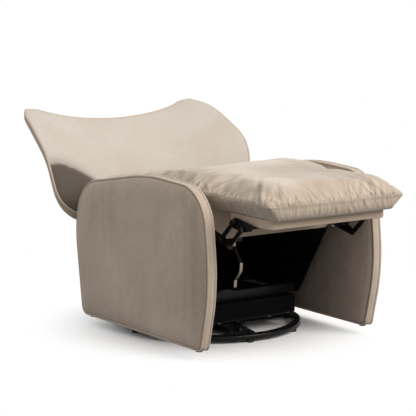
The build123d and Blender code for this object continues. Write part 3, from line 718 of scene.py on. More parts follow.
SLOT_FINISHES: dict[str, Finish] = {
    "plywood": Grained("plywood", (0.50, 0.34, 0.20), (0.38, 0.25, 0.14), stripes=45.0),
    "black_board": Hard(
        "black_board", (0.002, 0.002, 0.002), (0.004, 0.004, 0.004), roughness=0.6, specular=0.04
    ),
    "black_steel": Hard(
        "black_steel", (0.004, 0.004, 0.004), (0.02, 0.02, 0.021), roughness=0.28, size=40.0, specular=0.16
    ),
    "plated_steel": Hard("plated_steel", (0.13, 0.13, 0.132), (0.05, 0.05, 0.05), 1.0, 0.30, 60.0),
    "chrome": Hard("chrome", (0.24, 0.205, 0.17), (0.14, 0.12, 0.10), 1.0, 0.18, 50.0, 0.3),
    "rubber": Hard("rubber", BLACK, (0.03, 0.03, 0.03), roughness=0.8, amount=0.5),
    "black_plastic": Hard("black_plastic", BLACK, (0.025, 0.025, 0.025), roughness=0.5),
    "webbing": Grained("webbing", (0.02, 0.02, 0.02), (0.045, 0.045, 0.045), stripes=160.0, axis="Y"),
}


def cover_with(piece: bpy.types.Object, material: bpy.types.Material) -> None:
    """Give a piece one material."""
    piece.data.materials.clear()
    piece.data.materials.append(material)


class Palette:
    """Every finish, built once."""

    def __init__(self) -> None:
        """Build the materials."""
        self.cloths = {cloth: cloth.value.material() for cloth in Cloth}
        self.slots = {slot: finish.material() for slot, finish in SLOT_FINISHES.items()}

    def dress_frame(self) -> None:
        """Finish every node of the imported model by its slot."""
        cloth_of = {"velvet": Cloth.PANEL, "wrap_cloth": Cloth.WRAP, "piping_cloth": Cloth.PIPING}
        for row in frame["record"]["subparts"]:
            slot = row["material_slot"]
            made = self.slots.get(slot) or self.cloths[cloth_of[slot]]
            cover_with(frame["nodes"][row["node"]], made)


# ---------------------------------------------------------------- chaise pad
@dataclass(frozen=True)
class Pleats:
    """One kind of gathers: sharp valleys that leave the seam and die out."""

    count: int
    width: tuple[float, float]
    reach: tuple[float, float]
    depth: tuple[float, float]
    slant: float
    seed: int

    def height(self, along: np.ndarray, away: np.ndarray, whole: float) -> np.ndarray:
        """Height of the cloth over its smooth form.

        Args:
            along: Place along the seam of each point.
            away: Distance from the seam.
            whole: Length of the seam, which closes on itself.

        Returns:
            Height in metres, mostly below zero.
        """
        random = np.random.default_rng(self.seed)
        lift = np.zeros(len(along))
        for _ in range(self.count):
            place, lean = random.uniform(0, whole), random.normal(0, self.slant)
            width, reach = random.uniform(*self.width), random.uniform(*self.reach)
            depth, curl = random.uniform(*self.depth), random.normal(0, 2.0)
            near = np.nonzero(away < 2.2 * reach)[0]
            far = away[near]
            offset = along[near] - place - lean * far - curl * far * far
            offset = (offset + whole / 2) % whole - whole / 2
            close = np.abs(offset) < 5 * width
            near, far, offset = near[close], far[close], np.abs(offset[close])
            fade = np.exp(-((far / reach) ** 2)) * soft_step(far, -0.002, 0.010)
            grown = width * (0.7 + 0.6 * far / reach)
            valley = np.exp(-offset / grown)
            crest = np.exp(-(((offset - 2.4 * grown) / (1.2 * grown)) ** 2))
            lift[near] += depth * fade * (0.45 * crest - valley)
        return lift


@dataclass
class ChaisePad:
    """One pillow over the seat and the footrest, with a gathered seam all round."""

    palette: Palette
    front: float = -0.674
    rear: float = 0.295
    foot_half: float = 0.267
    seat_half: float = 0.293
    widens: Point2 = (-0.37, -0.29)
    corner: float = 0.009
    rear_corner: Point2 = (0.060, 0.090)
    bottom: float = 0.4635
    seams: Point2 = (0.508, 0.484)
    crests: Point2 = (0.565, 0.505)
    falls: Point2 = (-0.130, 0.207)
    columns: int = 120
    rows: int = 200
    trial: tuple[int, int] = (54, 88)
    # how far in from its sides, front and rear the top has risen, and the underside fallen
    top_reach: tuple[float, float, float] = (0.098, 0.118, 0.090)
    low_reach: Point2 = (0.040, 0.024)
    seam_width: float = 0.0026
    stitch_line: float = 0.010

    def half_width(self, y: np.ndarray) -> np.ndarray:
        """Half width of the pad's outline at a distance along the chair."""
        wide = self.foot_half + (self.seat_half - self.foot_half) * soft_step(y, *self.widens)
        front = self.corner * (1 - round_rise(y - self.front, 0.020))
        rear = self.rear_corner[0] * (1 - round_rise(self.rear - y, self.rear_corner[1]))
        return wide - front - rear

    def fall(self, y: np.ndarray) -> np.ndarray:
        """How far the seat has fallen towards the back, from 0 to 1."""
        share = (y - self.falls[0]) / (self.falls[1] - self.falls[0])
        return np.clip(0.5 * (share + np.sqrt(share * share + 0.006)), 0, 1)

    def seam_height(self, y: np.ndarray) -> np.ndarray:
        """Height of the seam at a distance along the chair."""
        return self.seams[0] + (self.seams[1] - self.seams[0]) * self.fall(y)

    def spacing(self, count: int, ease: float) -> np.ndarray:
        """Grid shares from 0 to 1 that crowd towards both ends."""
        even = np.linspace(0, 1, count)
        return even * (1 - ease) + ease * (0.5 - 0.5 * np.cos(even * math.pi))

    def bow(self, x: np.ndarray, y: np.ndarray) -> np.ndarray:
        """How far the front edge bows forward of the straight outline."""
        return 0.006 * (1 - (x / self.foot_half) ** 2) * (1 - soft_step(y - self.front, 0, 0.12))

    def outline(self) -> np.ndarray:
        """The seam seen from above, evenly spaced, round the pad from its rear middle."""
        v = np.linspace(0, 1, 900)
        y = self.front + (self.rear - self.front) * (0.5 + 0.5 * np.cos(v * math.pi))
        half = self.half_width(y)
        front = np.linspace(half[-1], -half[-1], 300)
        front = np.stack([front, self.front - self.bow(front, np.full(300, self.front))], axis=1)
        left = np.stack([half, y], axis=1)
        right = left[::-1] * (-1, 1)
        rear = np.linspace(-half[0], half[0], 200)
        rear = np.stack([rear, np.full(200, self.rear)], axis=1)
        return even_line(np.concatenate([left, front[1:-1], right, rear[1:]]), 2400)

    def sheets(self, columns: int, rows: int) -> tuple[np.ndarray, np.ndarray]:
        """The smooth top and underside, as two grids that share the seam.

        Args:
            columns: Grid points across the pad.
            rows: Grid points along it.

        Returns:
            The top and the underside, each rows x columns x 3.
        """
        u = 2 * self.spacing(columns, 0.45) - 1
        v = self.spacing(rows, 0.35)
        y = (self.front + (self.rear - self.front) * v)[:, None] * np.ones(columns)
        half = self.half_width(y)
        x = u[None, :] * half
        side = (1 - np.abs(u[None, :])) * half
        front, rear = y - self.front, self.rear - y
        seam = self.seam_height(y)
        crest = self.crests[0] + (self.crests[1] - self.crests[0]) * self.fall(y) - seam
        at_side, at_front, at_rear = self.top_reach
        top = crest * round_rise(side, at_side) ** 1.1
        top = top * round_rise(front, at_front) * round_rise(rear, at_rear)
        low = np.clip(side / self.low_reach[0], 0, 1) ** 0.85
        low = (seam - self.bottom) * low * round_rise(np.minimum(front, rear), self.low_reach[1])
        y = y - self.bow(x, y)
        return np.stack([x, y, seam + top], axis=2), np.stack([x, y, seam - low], axis=2)

    def build(self) -> bpy.types.Object:
        """Make, fill, gather and dress the pad."""
        top, low = self.sheets(self.columns, self.rows)
        top = top + self.swell(*self.trial)
        piece = two_sheets("chaise_pad", top, low)
        subdivide(piece, 1)
        self.gather(piece)
        cover_with(piece, self.palette.cloths[Cloth.PILLOW])
        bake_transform(piece)
        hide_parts("footrest_cushion", "seat_cushion")
        return piece

    def swell(self, columns: int, rows: int) -> np.ndarray:
        """How the cover swells and crumples, simulated on a coarser copy of the pad.

        Args:
            columns: Grid points across the copy.
            rows: Grid points along it.

        Returns:
            The moves of the top's grid points.
        """
        top, low = self.sheets(columns, rows)
        copy = two_sheets("pad_trial", top, low)
        z = coordinates(copy)[:, 2]
        count = rows * columns
        edge = np.zeros((rows, columns))
        edge[[0, -1], :], edge[:, [0, -1]] = 1, 1
        held = np.concatenate([edge.ravel(), np.ones(len(z) - count)])
        before = coordinates(copy)
        FILLING.run(copy, held)
        moved = (coordinates(copy) - before)[:count].reshape(rows, columns, 3)
        bpy.data.objects.remove(copy)
        grown = np.zeros((self.rows, self.columns, 3))
        across, along = np.linspace(0, 1, self.columns), np.linspace(0, 1, self.rows)
        for k in range(3):
            wide = np.stack([np.interp(across, np.linspace(0, 1, columns), row) for row in moved[:, :, k]])
            grown[:, :, k] = np.stack(
                [np.interp(along, np.linspace(0, 1, rows), line) for line in wide.T], axis=1
            )
        return grown

    def gather(self, piece: bpy.types.Object) -> None:
        """Gathers at the seam, longer folds away from it and a soft waviness on top, with painted shade in the
        seam, the stitch line and the hollows, and painted highlight on the crests.
        """
        points, out = coordinates(piece), normals(piece)
        x, y, z = points.T
        line = self.outline()
        whole = float(np.sum(np.hypot(*np.diff(line, axis=0).T)))
        nearest = np.zeros(len(points), int)
        flat = np.zeros(len(points))
        for start in range(0, len(points), 4000):
            part = slice(start, start + 4000)
            gap = np.hypot(x[part, None] - line[None, :, 0], y[part, None] - line[None, :, 1])
            nearest[part] = gap.argmin(axis=1)
            flat[part] = gap.min(axis=1)
        along = nearest / (len(line) - 1) * whole
        rise = z - self.seam_height(y)
        away = np.hypot(flat, rise)
        above = rise > 0
        noise = LatticeNoise(11)
        lift = np.zeros(len(points))
        for pleats in GATHERS_ABOVE:
            lift += np.where(above, pleats.height(along, away, whole), 0)
        for pleats in GATHERS_BELOW:
            lift += np.where(above, 0, pleats.height(along, away, whole))
        ripple = noise(along / 0.018, away / 0.030, above * 3.0) - 0.5
        lift += 0.0035 * ripple * soft_step(away, 0, 0.008) * np.exp(-away / 0.05)
        broad = noise(x / 0.15 + 5, y / 0.19, z * 0 + 2) - 0.5
        creases = noise.folds((x + 0.5 * y) / 0.12, (y - 0.5 * x) / 0.24 + 7, z * 0 + 5) - 0.65
        on_top = above * soft_step(flat, 0.02, 0.10)
        lift += on_top * (0.011 * broad + 0.0045 * creases)
        stitch = np.exp(-(((away - self.stitch_line) / 0.0016) ** 2)) * above
        seam = np.exp(-((away / self.seam_width) ** 2))
        lift -= 0.0024 * seam + 0.0009 * stitch
        corner = np.hypot(np.abs(x) - self.foot_half, y - self.front)
        lift *= np.where(z < self.bottom + 0.004, 0.0, 0.35 + 0.65 * soft_step(corner, 0.015, 0.075))
        set_coordinates(piece, points + out * lift[:, None])
        # painted shade in the seam, the stitch line and the fold hollows, painted highlight on the fold crests
        hollow_shade = np.clip(-lift / 0.008, 0, 1)
        crest = np.clip(lift / 0.004, 0, 1) * soft_step(away, 0.0, 0.012)
        set_shade(piece, 0.40 * seam + 0.20 * stitch + 0.28 * hollow_shade - 0.26 * crest)


FILLING = ClothPass(pressure=0.9, growth=0.02, frames=16, cap=0.008, bending=5.0)
GATHERS_ABOVE: tuple[Pleats, ...] = (
    Pleats(230, (0.0014, 0.0030), (0.014, 0.036), (0.0023, 0.0046), 0.22, 3),
    Pleats(120, (0.0028, 0.0060), (0.035, 0.075), (0.0021, 0.0041), 0.32, 5),
    Pleats(34, (0.0070, 0.0130), (0.080, 0.160), (0.0027, 0.0047), 0.45, 7),
)
GATHERS_BELOW: tuple[Pleats, ...] = (
    Pleats(260, (0.0016, 0.0034), (0.014, 0.034), (0.0014, 0.0030), 0.32, 13),
    Pleats(90, (0.0028, 0.0055), (0.026, 0.048), (0.0020, 0.0036), 0.38, 17),
)


# ---------------------------------------------------------------- wing back
@dataclass
class WingBack:
    """The back: padded wing-shaped face, outer cover and piping, on one outline."""

    palette: Palette
    lean: float = math.radians(42)
    foot: tuple[float, float, float] = (0.0, 0.337, 0.363)
    low: float = -0.110
    foot_half: float = 0.236
    neck: float = -0.026
    shoulder: Point2 = (0.292, -0.002)
    wing: tuple[Point2, ...] = (
        (0.344, 0.004), (0.376, 0.026), (0.400, 0.060), (0.415, 0.118), (0.419, 0.190),
        (0.411, 0.275), (0.396, 0.372), (0.378, 0.430), (0.352, 0.466),
    )
    dip: tuple[Point2, ...] = (
        (0.352, 0.466), (0.304, 0.461), (0.272, 0.447), (0.218, 0.430), (0.112, 0.415), (0.0, 0.410),
    )
    # height along the back: middle of the front face, wing depth, pad thickness
    sections: tuple[tuple[float, float, float, float], ...] = (
        (-0.112, 0.010, 0.012, 0.030), (-0.020, 0.010, 0.018, 0.038), (0.060, 0.010, 0.042, 0.040),
        (0.120, 0.010, 0.075, 0.042), (0.190, 0.009, 0.099, 0.042), (0.260, 0.005, 0.095, 0.040),
        (0.340, -0.004, 0.082, 0.034), (0.410, -0.012, 0.060, 0.022), (0.482, -0.020, 0.016, 0.012),
    )
    # the line below which the velvet is painted darker, across and up the back
    toned: tuple[Point2, ...] = (
        (-0.430, 0.150), (-0.412, 0.162), (-0.391, 0.166), (-0.367, 0.168), (-0.344, 0.166), (-0.323, 0.161),
        (-0.302, 0.156), (-0.282, 0.149), (-0.252, 0.134), (-0.223, 0.117), (-0.192, 0.100), (-0.100, 0.030),
    )
    edge_half: float = 0.430
    wing_pad: float = 0.018
    shell: Point2 = (0.020, 0.008)
    cover: Point2 = (0.011, 0.008)
    gaps: float = 0.0016
    roll: float = 0.007
    roll_reach: float = 0.024
    piping_radius: float = 0.0042
    columns: int = 121
    rows: int = 110

    def place(self, x: np.ndarray, t: np.ndarray, n: np.ndarray) -> np.ndarray:
        """Row-frame places of points given in the back's own directions.

        Args:
            x: Across the back.
            t: Up along it.
            n: Out of its front.

        Returns:
            Places, with a last axis of 3.
        """
        up = (0.0, math.sin(self.lean), math.cos(self.lean))
        out = (0.0, -math.cos(self.lean), math.sin(self.lean))
        parts = [self.foot[k] + t * up[k] + n * out[k] for k in range(3)]
        return np.stack([x + parts[0], parts[1], parts[2]], axis=-1)

    def side_line(self, count: int) -> np.ndarray:
        """The right side of the outline from the foot to the wing tip."""
        low = np.array([(self.foot_half, self.low), (self.foot_half, self.neck), self.shoulder])
        wing = smooth_line([*self.wing], 200)
        return even_line(np.concatenate([low, wing]), count)

    def grid(self) -> tuple[np.ndarray, np.ndarray, np.ndarray]:
        """Places across and up the back on a grid that ends on the outline.

        Returns:
            x, t and the distance from the outline, each rows x columns.
        """
        v = np.linspace(0, 1, self.rows)
        v = v * 0.6 + 0.4 * (0.5 - 0.5 * np.cos(v * math.pi))
        line = self.side_line(600)
        share = np.linspace(0, 1, len(line))
        half, height = np.interp(v, share, line[:, 0]), np.interp(v, share, line[:, 1])
        even = np.linspace(-1, 1, self.columns)
        u = even * 0.55 + 0.45 * np.sin(even * math.pi / 2)
        top = smooth_line([*self.dip], 200)[::-1]
        x_top = np.abs(u) * self.wing[-1][0]
        fall = np.interp(x_top, top[:, 0], top[:, 1]) - self.wing[-1][1]
        x = half[:, None] * u[None, :]
        t = height[:, None] + (v[:, None] ** 3) * fall[None, :]
        across = (1 - np.abs(u))[None, :] * half[:, None]
        above = np.abs(np.interp(np.abs(x), top[:, 0], top[:, 1]) - t)
        edge = np.minimum(np.minimum(across, above), t - self.low)
        return x, t, np.maximum(edge, 0)

    def depth(self, t: np.ndarray, column: int) -> np.ndarray:
        """One column of the sections at heights along the back."""
        rows = self.sections
        return natural_spline([r[0] for r in rows], [r[column] for r in rows], t)

    def face(self, x: np.ndarray, t: np.ndarray) -> np.ndarray:
        """Height of the front face over the back's own plane."""
        sag = np.maximum(self.depth(t, 2), 0.004)
        radius = (self.edge_half**2 + sag**2) / (2 * sag)
        return self.depth(t, 1) + radius - np.sqrt(radius**2 - x**2)

    def thickness(self, x: np.ndarray, t: np.ndarray) -> np.ndarray:
        """Thickness from the front face to the rear of the cover.

        Args:
            x: Across the back.
            t: Up along it.

        Returns:
            Metres, at each point.
        """
        pad = self.depth(t, 3)
        pad_edge = np.minimum(self.wing_pad, pad)
        bow = (x / self.edge_half) ** 2
        whole = pad + (pad_edge - pad) * bow
        whole += self.shell[0] + (self.shell[1] - self.shell[0]) * bow
        return whole + self.cover[0] + (self.cover[1] - self.cover[0]) * bow + self.gaps

    def wing_shade(self, x: np.ndarray, t: np.ndarray) -> np.ndarray:
        """How much darker the sitter's right lower wing is painted, below a line.

        Args:
            x: Across the back.
            t: Up along it.

        Returns:
            Darkening from 0 to 1, at each point.
        """
        across, height = zip(*self.toned)
        line = np.interp(x, across, height)
        width = 0.005 + 0.10 * np.maximum(x + 0.34, 0)
        below = 1 - soft_step((t - line) / width, -1.0, 1.0)
        halo = 0.34 * np.exp(-((np.maximum(t - line, 0) / 0.026) ** 1.5)) * (1 - soft_step(x, -0.30, -0.18))
        return np.maximum(0.93 * below, halo) * (1 - soft_step(x, -0.26, -0.10))

    def build(self) -> list[bpy.types.Object]:
        """Make the three pieces of the back."""
        return [self.inner_pad(), self.outer_cover(), self.piping()]

    def inner_pad(self) -> bpy.types.Object:
        """The padded face with its rolled edge."""
        x, t, edge = self.grid()
        front = self.face(x, t)
        roll = self.roll * (1 - round_rise(edge, self.roll_reach))
        noise = LatticeNoise(23)
        wave = 0.0022 * (noise(x / 0.14 + 9, t / 0.12 + 4, x * 0) - 0.5) * soft_step(edge, 0.01, 0.06)
        puff = 0.006 * soft_step(edge, 0.0, 0.12)
        outer = self.place(x, t, front - roll + wave + puff)
        pad = np.minimum(self.depth(t, 3), 0.030)
        inner = self.place(x, t, front - np.maximum(pad * 0.8, 0.010))
        piece = two_sheets("back_face", outer[:, ::-1], inner[:, ::-1])
        shade = self.wing_shade(x, t)
        set_shade(piece, np.concatenate([shade[:, ::-1].ravel(), shade[1:-1, -2:0:-1].ravel()]))
        subdivide(piece, 1)
        cover_with(piece, self.palette.cloths[Cloth.BACK])
        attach(piece, "back")
        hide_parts("back_inner_pad")
        return piece

    def outer_cover(self) -> bpy.types.Object:
        """The tight outer cover, which wraps round the edge up to the piping."""
        x, t, edge = self.grid()
        front, deep = self.face(x, t), self.thickness(x, t)
        lip = self.roll + 0.003
        turned = round_rise(edge, 0.016)
        rear = self.place(x, t, front - lip - (deep - lip) * turned)
        inner = self.place(x * 0.985, t, front - lip - np.minimum(deep - lip - 0.003, 0.018) * turned)
        piece = two_sheets("back_outer_cover", rear, inner)
        subdivide(piece, 1)
        cover_with(piece, self.palette.cloths[Cloth.PANEL])
        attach(piece, "back")
        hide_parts("back_cover")
        return piece

    def piping(self) -> bpy.types.Object:
        """The cord sewn along the edge between face and cover."""
        side = self.side_line(160)
        top = smooth_line([*self.dip], 60)[1:]
        half = np.concatenate([side, top])
        left = half[::-1][1:] * (-1, 1)
        line = np.concatenate([half, left])
        foot = np.linspace((-self.foot_half, self.low), (self.foot_half, self.low), 40)[1:-1]
        line = np.concatenate([line, foot])
        n = self.face(line[:, 0], line[:, 1]) - self.roll - 0.001
        path = self.place(line[:, 0], line[:, 1], n)
        piece = tube_along("back_edge_piping", path, self.piping_radius, 12, closed=True)
        cover_with(piece, self.palette.cloths[Cloth.PIPING])
        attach(piece, "back")
        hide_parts("back_piping")
        return piece


# ---------------------------------------------------------------- arms
class Side(Enum):
    """Sides of the chair, by the sign of X; the sitter's left is +X."""

    LEFT = 1
    RIGHT = -1


@dataclass
class SlabArm:
    """One arm: a band round its edge between two welts, and a crowned pad on each face."""

    palette: Palette
    side: Side
    corners: tuple[Point2, ...] = (
        (-0.426, 0.036), (0.283, 0.036), (0.324, 0.316), (0.296, 0.486),
        (-0.125, 0.558), (-0.442, 0.544), (-0.475, 0.240),
    )
    radii: tuple[float, ...] = (0.016, 0.030, 0.370, 0.150, 0.900, 0.135, 0.600)
    centre: Point2 = (-0.082, 0.300)
    strip_inner: float = 0.318
    strip_outer: float = 0.345
    welt: float = 0.0038
    crown: float = 0.017
    # painted shade in the crevices beside the welts: on the pads' borders and hidden rear sides, and on the
    # band's edges
    seam_shade: float = 0.88
    band_shade: float = 0.80
    crown_steps: tuple[Point2, ...] = ((0.0, 1.0), (0.36, 0.993), (0.66, 0.967), (0.87, 0.9), (1.0, 0.76))

    def outline(self, count: int) -> np.ndarray:
        """The rounded outline of the arm in the side plane.

        Args:
            count: How many points to return.

        Returns:
            count x 2 places, along the chair and up.
        """
        size = len(self.corners)
        points: list[np.ndarray] = []
        for k in range(size):
            corner = np.array(self.corners[k])
            back = np.array(self.corners[k - 1]) - corner
            ahead = np.array(self.corners[(k + 1) % size]) - corner
            back, ahead = back / np.linalg.norm(back), ahead / np.linalg.norm(ahead)
            half = math.acos(float(back @ ahead)) / 2
            reach = self.radii[k] / math.tan(half)
            middle = corner + (back + ahead) / np.linalg.norm(back + ahead) * self.radii[k] / math.sin(half)
            first, last = corner + back * reach - middle, corner + ahead * reach - middle
            start, end = math.atan2(first[1], first[0]), math.atan2(last[1], last[0])
            turn = (end - start + math.pi) % (2 * math.pi) - math.pi
            for share in np.linspace(0, 1, 24):
                angle = start + turn * share
                points.append(middle + self.radii[k] * np.array([math.cos(angle), math.sin(angle)]))
        points.append(points[0])
        return even_line(np.array(points), count + 1)[:-1]

    def inward(self, line: np.ndarray) -> np.ndarray:
        """Unit directions into the outline at each of its points."""
        ahead = np.roll(line, -1, axis=0) - np.roll(line, 1, axis=0)
        ahead /= np.linalg.norm(ahead, axis=1)[:, None]
        return np.stack([-ahead[:, 1], ahead[:, 0]], axis=1)

    def build(self) -> list[bpy.types.Object]:
        """Make the pads, the band and the welts of this arm."""
        label = self.side.name.lower()
        outer = self.pad(f"arm_outer_face_{label}", self.strip_outer, 1, f"arm_outer_pad_{label}", 31)
        inner = self.pad(f"arm_inner_face_{label}", self.strip_inner, -1, f"arm_inner_pad_{label}", 37)
        return [outer, inner, self.band(label), *self.welts(label)]

    def pad(self, name: str, face: float, out: int, node: str, seed: int) -> bpy.types.Object:
        """A crowned face of the arm.

        Args:
            name: The piece's name.
            face: X of its seam line on the +X side.
            out: 1 if it swells away from the chair's middle, -1 if towards it.
            node: The node that it stands for.
            seed: Start of its own surface noise.

        Returns:
            The object.
        """
        count, rings = 320, 46
        line = self.outline(count)
        line = line + self.inward(line) * (self.welt * 0.6)
        middle = np.array(self.centre)
        share = np.linspace(0, 1, rings)
        scale = 1 - share**1.9
        rises = np.interp(-scale, [-s for _, s in self.crown_steps], [h for h, _ in self.crown_steps])
        smooth = 1 - (1 - np.clip((1 - scale) / 0.26, 0, 1)) ** 2.6
        rise = 0.5 * (rises + smooth)
        noise = LatticeNoise(seed)
        points = []
        for k in range(rings - 1):
            ring = middle + (line - middle) * scale[k]
            y, z = ring.T
            wave = 0.0016 * (noise(y / 0.17, z / 0.20, y * 0 + 1) - 0.5) * min(1.0, share[k] * 4)
            x = face + out * (self.crown * rise[k] + wave)
            points.append(np.stack([self.side.value * x, y, z], axis=1))
        points = np.concatenate(points + [[[self.side.value * (face + out * self.crown), *middle]]])
        # the rear side lies flat on the core
        back = middle + (line - middle) * 0.985
        start = len(points)
        flat = np.full(count, self.side.value * (face - out * 0.004))
        points = np.concatenate([points, np.stack([flat, back[:, 0], back[:, 1]], axis=1)])
        faces = grid_faces(rings - 1, count, closed=True)
        tip, last = start - 1, (rings - 2) * count
        faces += [(last + c, last + (c + 1) % count, tip) for c in range(count)]
        faces += [(start + c, start + (c + 1) % count, (c + 1) % count, c) for c in range(count)]
        faces.append(tuple(start + c for c in range(count)))
        if self.side.value * out < 0:
            faces = [tuple(reversed(f)) for f in faces]
        piece = new_piece(name, points, faces)
        # painted shade in the crevice along the welt, on the pad's border and its hidden rear side
        seam = np.repeat(1 - soft_step(share[:-1], 0.03, 0.10), count)
        y, z = points[: len(seam), 1], points[: len(seam), 2]
        toned = 0.13 * (noise(y / 0.024, z / 0.22, y * 0 + 4) - 0.5)
        toned += 0.20 * (noise(y / 0.10, z / 0.13, y * 0 + 8) - 0.5)
        # darker towards the front edge outside; inside, painted shade that deepens towards the rear
        if out > 0:
            darkening_and_depth_shade = 0.16 * soft_step(-y, 0.30, 0.46)
        else:
            darkening_and_depth_shade = 0.45 * soft_step(y, -0.38, -0.16)
        face_shade = np.maximum(self.seam_shade * seam, toned + darkening_and_depth_shade)
        set_shade(piece, np.concatenate([face_shade, [0.0], np.full(count, self.seam_shade)]))
        cover_with(piece, self.palette.cloths[Cloth.PANEL])
        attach(piece, "chassis")
        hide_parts(node)
        return piece

    def band(self, label: str) -> bpy.types.Object:
        """The boxing band between the welts, slightly domed."""
        count = 420
        line = self.outline(count)
        inward = self.inward(line)
        across = np.linspace(-1, 1, 13)
        middle = (self.strip_inner + self.strip_outer) / 2
        half = (self.strip_outer - self.strip_inner) / 2
        noise = LatticeNoise(41)
        along = np.arange(count) / count * 2.6
        rings = []
        for share in across:
            dome = 0.0022 * (1 - share * share) - 0.0014 * abs(share) ** 6
            wave = 0.0008 * (noise(along / 0.05, along * 0 + share, along * 0) - 0.5)
            ring = line - inward * (dome + wave)[:, None]
            x = np.full(count, self.side.value * (middle + half * share))
            rings.append(np.stack([x, ring[:, 0], ring[:, 1]], axis=1))
        inset = line + inward * 0.0035
        for share in (0.9, -0.9):
            x = np.full(count, self.side.value * (middle + half * share))
            rings.append(np.stack([x, inset[:, 0], inset[:, 1]], axis=1))
        points = np.concatenate(rings)
        faces = grid_faces(len(rings), count, closed=True)
        last = (len(rings) - 1) * count
        faces += [(last + c, last + (c + 1) % count, (c + 1) % count, c) for c in range(count)]
        if self.side.value > 0:
            faces = [tuple(reversed(f)) for f in faces]
        piece = new_piece(f"arm_band_{label}", points, faces)
        # painted shade in the crevices under the welts, at the band's edges
        edge = self.band_shade * soft_step(np.abs(across), 0.80, 0.97)
        set_shade(piece, np.repeat(np.concatenate([edge, [self.band_shade] * 2]), count))
        cover_with(piece, self.palette.cloths[Cloth.PANEL])
        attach(piece, "chassis")
        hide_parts(f"arm_strip_{label}")
        return piece

    def welts(self, label: str) -> list[bpy.types.Object]:
        """The two piped cords at the band's edges."""
        line = self.outline(360)
        made = []
        for word, x in (("outer", self.strip_outer), ("inner", self.strip_inner)):
            path = np.stack([np.full(len(line), self.side.value * x), line[:, 0], line[:, 1]], axis=1)
            piece = tube_along(f"arm_{word}_piping_{label}", path, self.welt, 10, closed=True)
            cover_with(piece, self.palette.cloths[Cloth.PIPING])
            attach(piece, "chassis")
            made.append(piece)
        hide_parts(f"arm_welts_{label}")
        return made


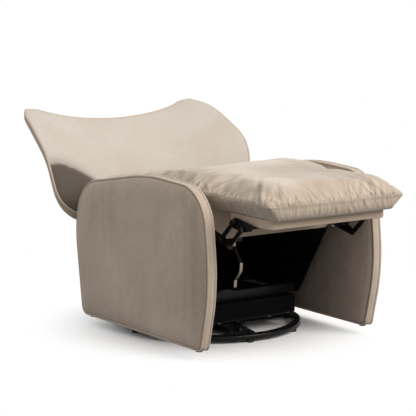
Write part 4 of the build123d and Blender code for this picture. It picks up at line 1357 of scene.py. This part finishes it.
# ---------------------------------------------------------------- studio
@dataclass
class Studio:
    """Floor, lights and camera."""

    eye: tuple[float, float, float] = (-3.4574, -4.9329, 1.3302)
    pitch: float = 8.74
    heading: float = -34.86
    lens: float = 155.77
    key_place: tuple[float, float, float] = (1.9, -4.5, 3.6)
    key_size: float = 3.6
    key_power: float = 265.0
    zenith: float = 0.90
    horizon: float = 0.80
    # metres from the chair's middle over which the floor turns white to the camera
    white_from: float = 0.26
    white_to: float = 0.64
    floor_half: float = 30.0
    floor_shown: float = 0.98
    floor_bounce: float = 0.20

    def build(self) -> None:
        """Set the whole studio up."""
        scene = bpy.context.scene
        scene.view_settings.view_transform = "Standard"
        self.camera()
        self.world()
        self.key()
        self.floor()

    def camera(self) -> None:
        """The camera at the photographed viewpoint."""
        data = bpy.data.cameras.new("camera")
        data.lens, data.sensor_width = self.lens, 36.0
        camera = bpy.data.objects.new("camera", data)
        camera.location = self.eye
        camera.rotation_euler = (math.radians(90 - self.pitch), 0, math.radians(self.heading))
        bpy.context.scene.collection.objects.link(camera)
        bpy.context.scene.camera = camera

    def world(self) -> None:
        """Even soft light, with a white background for what the eye and gloss see."""
        world = bpy.data.worlds.new("studio")
        bpy.context.scene.world = world
        world.use_nodes = True
        n = Nodes(world.node_tree)
        sky = world.node_tree.nodes["Background"]
        path = n.add("ShaderNodeLightPath")
        seen = n.maths("MAXIMUM", path.outputs["Is Camera Ray"], path.outputs["Is Transmission Ray"])
        shown = n.maths("MAXIMUM", seen, path.outputs["Is Glossy Ray"])
        height = n.add("ShaderNodeSeparateXYZ")
        n.link(n.add("ShaderNodeTexCoord").outputs["Generated"], height.inputs["Vector"])
        rise = n.ramp(height.outputs["Z"], 0.0, 1.0)
        fill = n.maths("MULTIPLY_ADD", rise, self.zenith - self.horizon, self.horizon)
        level = n.maths("ADD", shown, n.maths("MULTIPLY", n.maths("SUBTRACT", 1.0, shown), fill))
        sky.inputs["Color"].default_value = (1, 1, 1, 1)
        n.link(level, sky.inputs["Strength"])

    def key(self) -> None:
        """One large soft lamp above the front."""
        data = bpy.data.lights.new("key", "AREA")
        data.shape, data.size, data.energy = "DISK", self.key_size, self.key_power
        data.color = (1.0, 0.96, 0.91)
        lamp = bpy.data.objects.new("key", data)
        lamp.location = self.key_place
        away = np.array((0.0, 0.0, 0.35)) - np.array(self.key_place)
        away /= np.linalg.norm(away)
        tilt = math.acos(-away[2])
        lamp.rotation_euler = (tilt, 0, math.atan2(away[1], away[0]) - math.pi / 2)
        bpy.context.scene.collection.objects.link(lamp)

    def floor(self) -> None:
        """A wide pale floor that stays white to the camera and keeps the shadow."""
        size = self.floor_half
        corners = [(-size, -size, 0), (size, -size, 0), (size, size, 0), (-size, size, 0)]
        floor = new_piece("studio_floor", np.array(corners, float), [(0, 1, 2, 3)])
        material = bpy.data.materials.new("studio_floor")
        material.use_nodes = True
        n = Nodes(material.node_tree)
        surface = material.node_tree.nodes["Principled BSDF"]
        path = n.add("ShaderNodeLightPath")
        seen = n.maths("MAXIMUM", path.outputs["Is Camera Ray"], path.outputs["Is Glossy Ray"])
        shade = n.mix(seen, (self.floor_bounce,) * 3, (self.floor_shown,) * 3)
        n.link(shade, surface.inputs["Base Color"])
        surface.inputs["Roughness"].default_value = 0.8
        surface.inputs["Specular IOR Level"].default_value = 0.1
        glow = n.add("ShaderNodeEmission", Strength=1.0)
        away = n.add("ShaderNodeVectorMath", operation="LENGTH")
        n.link(n.add("ShaderNodeTexCoord").outputs["Object"], away.inputs[0])
        open_floor = n.ramp(away.outputs["Value"], self.white_from, self.white_to)
        open_floor.node.interpolation_type = "SMOOTHSTEP"
        share = n.maths("MULTIPLY", seen, open_floor)
        mixed = n.add("ShaderNodeMixShader")
        n.link(share, mixed.inputs["Fac"])
        n.link(surface.outputs["BSDF"], mixed.inputs[1])
        n.link(glow.outputs["Emission"], mixed.inputs[2])
        n.link(mixed.outputs["Shader"], material.node_tree.nodes["Material Output"].inputs["Surface"])
        cover_with(floor, material)


def report_pieces(word: str, pieces: Sequence[bpy.types.Object]) -> None:
    """Log what a sub-assembly made."""
    for piece in pieces:
        LOG.info("%s: %s, %d vertices", word, piece.name, len(piece.data.vertices))


def main() -> None:
    """Dress the frame, add the soft pieces and set up the studio."""
    logging.basicConfig(level=logging.INFO)
    palette = Palette()
    palette.dress_frame()
    Studio().build()
    report_pieces("arm", SlabArm(palette, Side.LEFT).build() + SlabArm(palette, Side.RIGHT).build())
    report_pieces("back", WingBack(palette).build())
    report_pieces("pad", [ChaisePad(palette).build()])


if __name__ == "__main__":
    main()
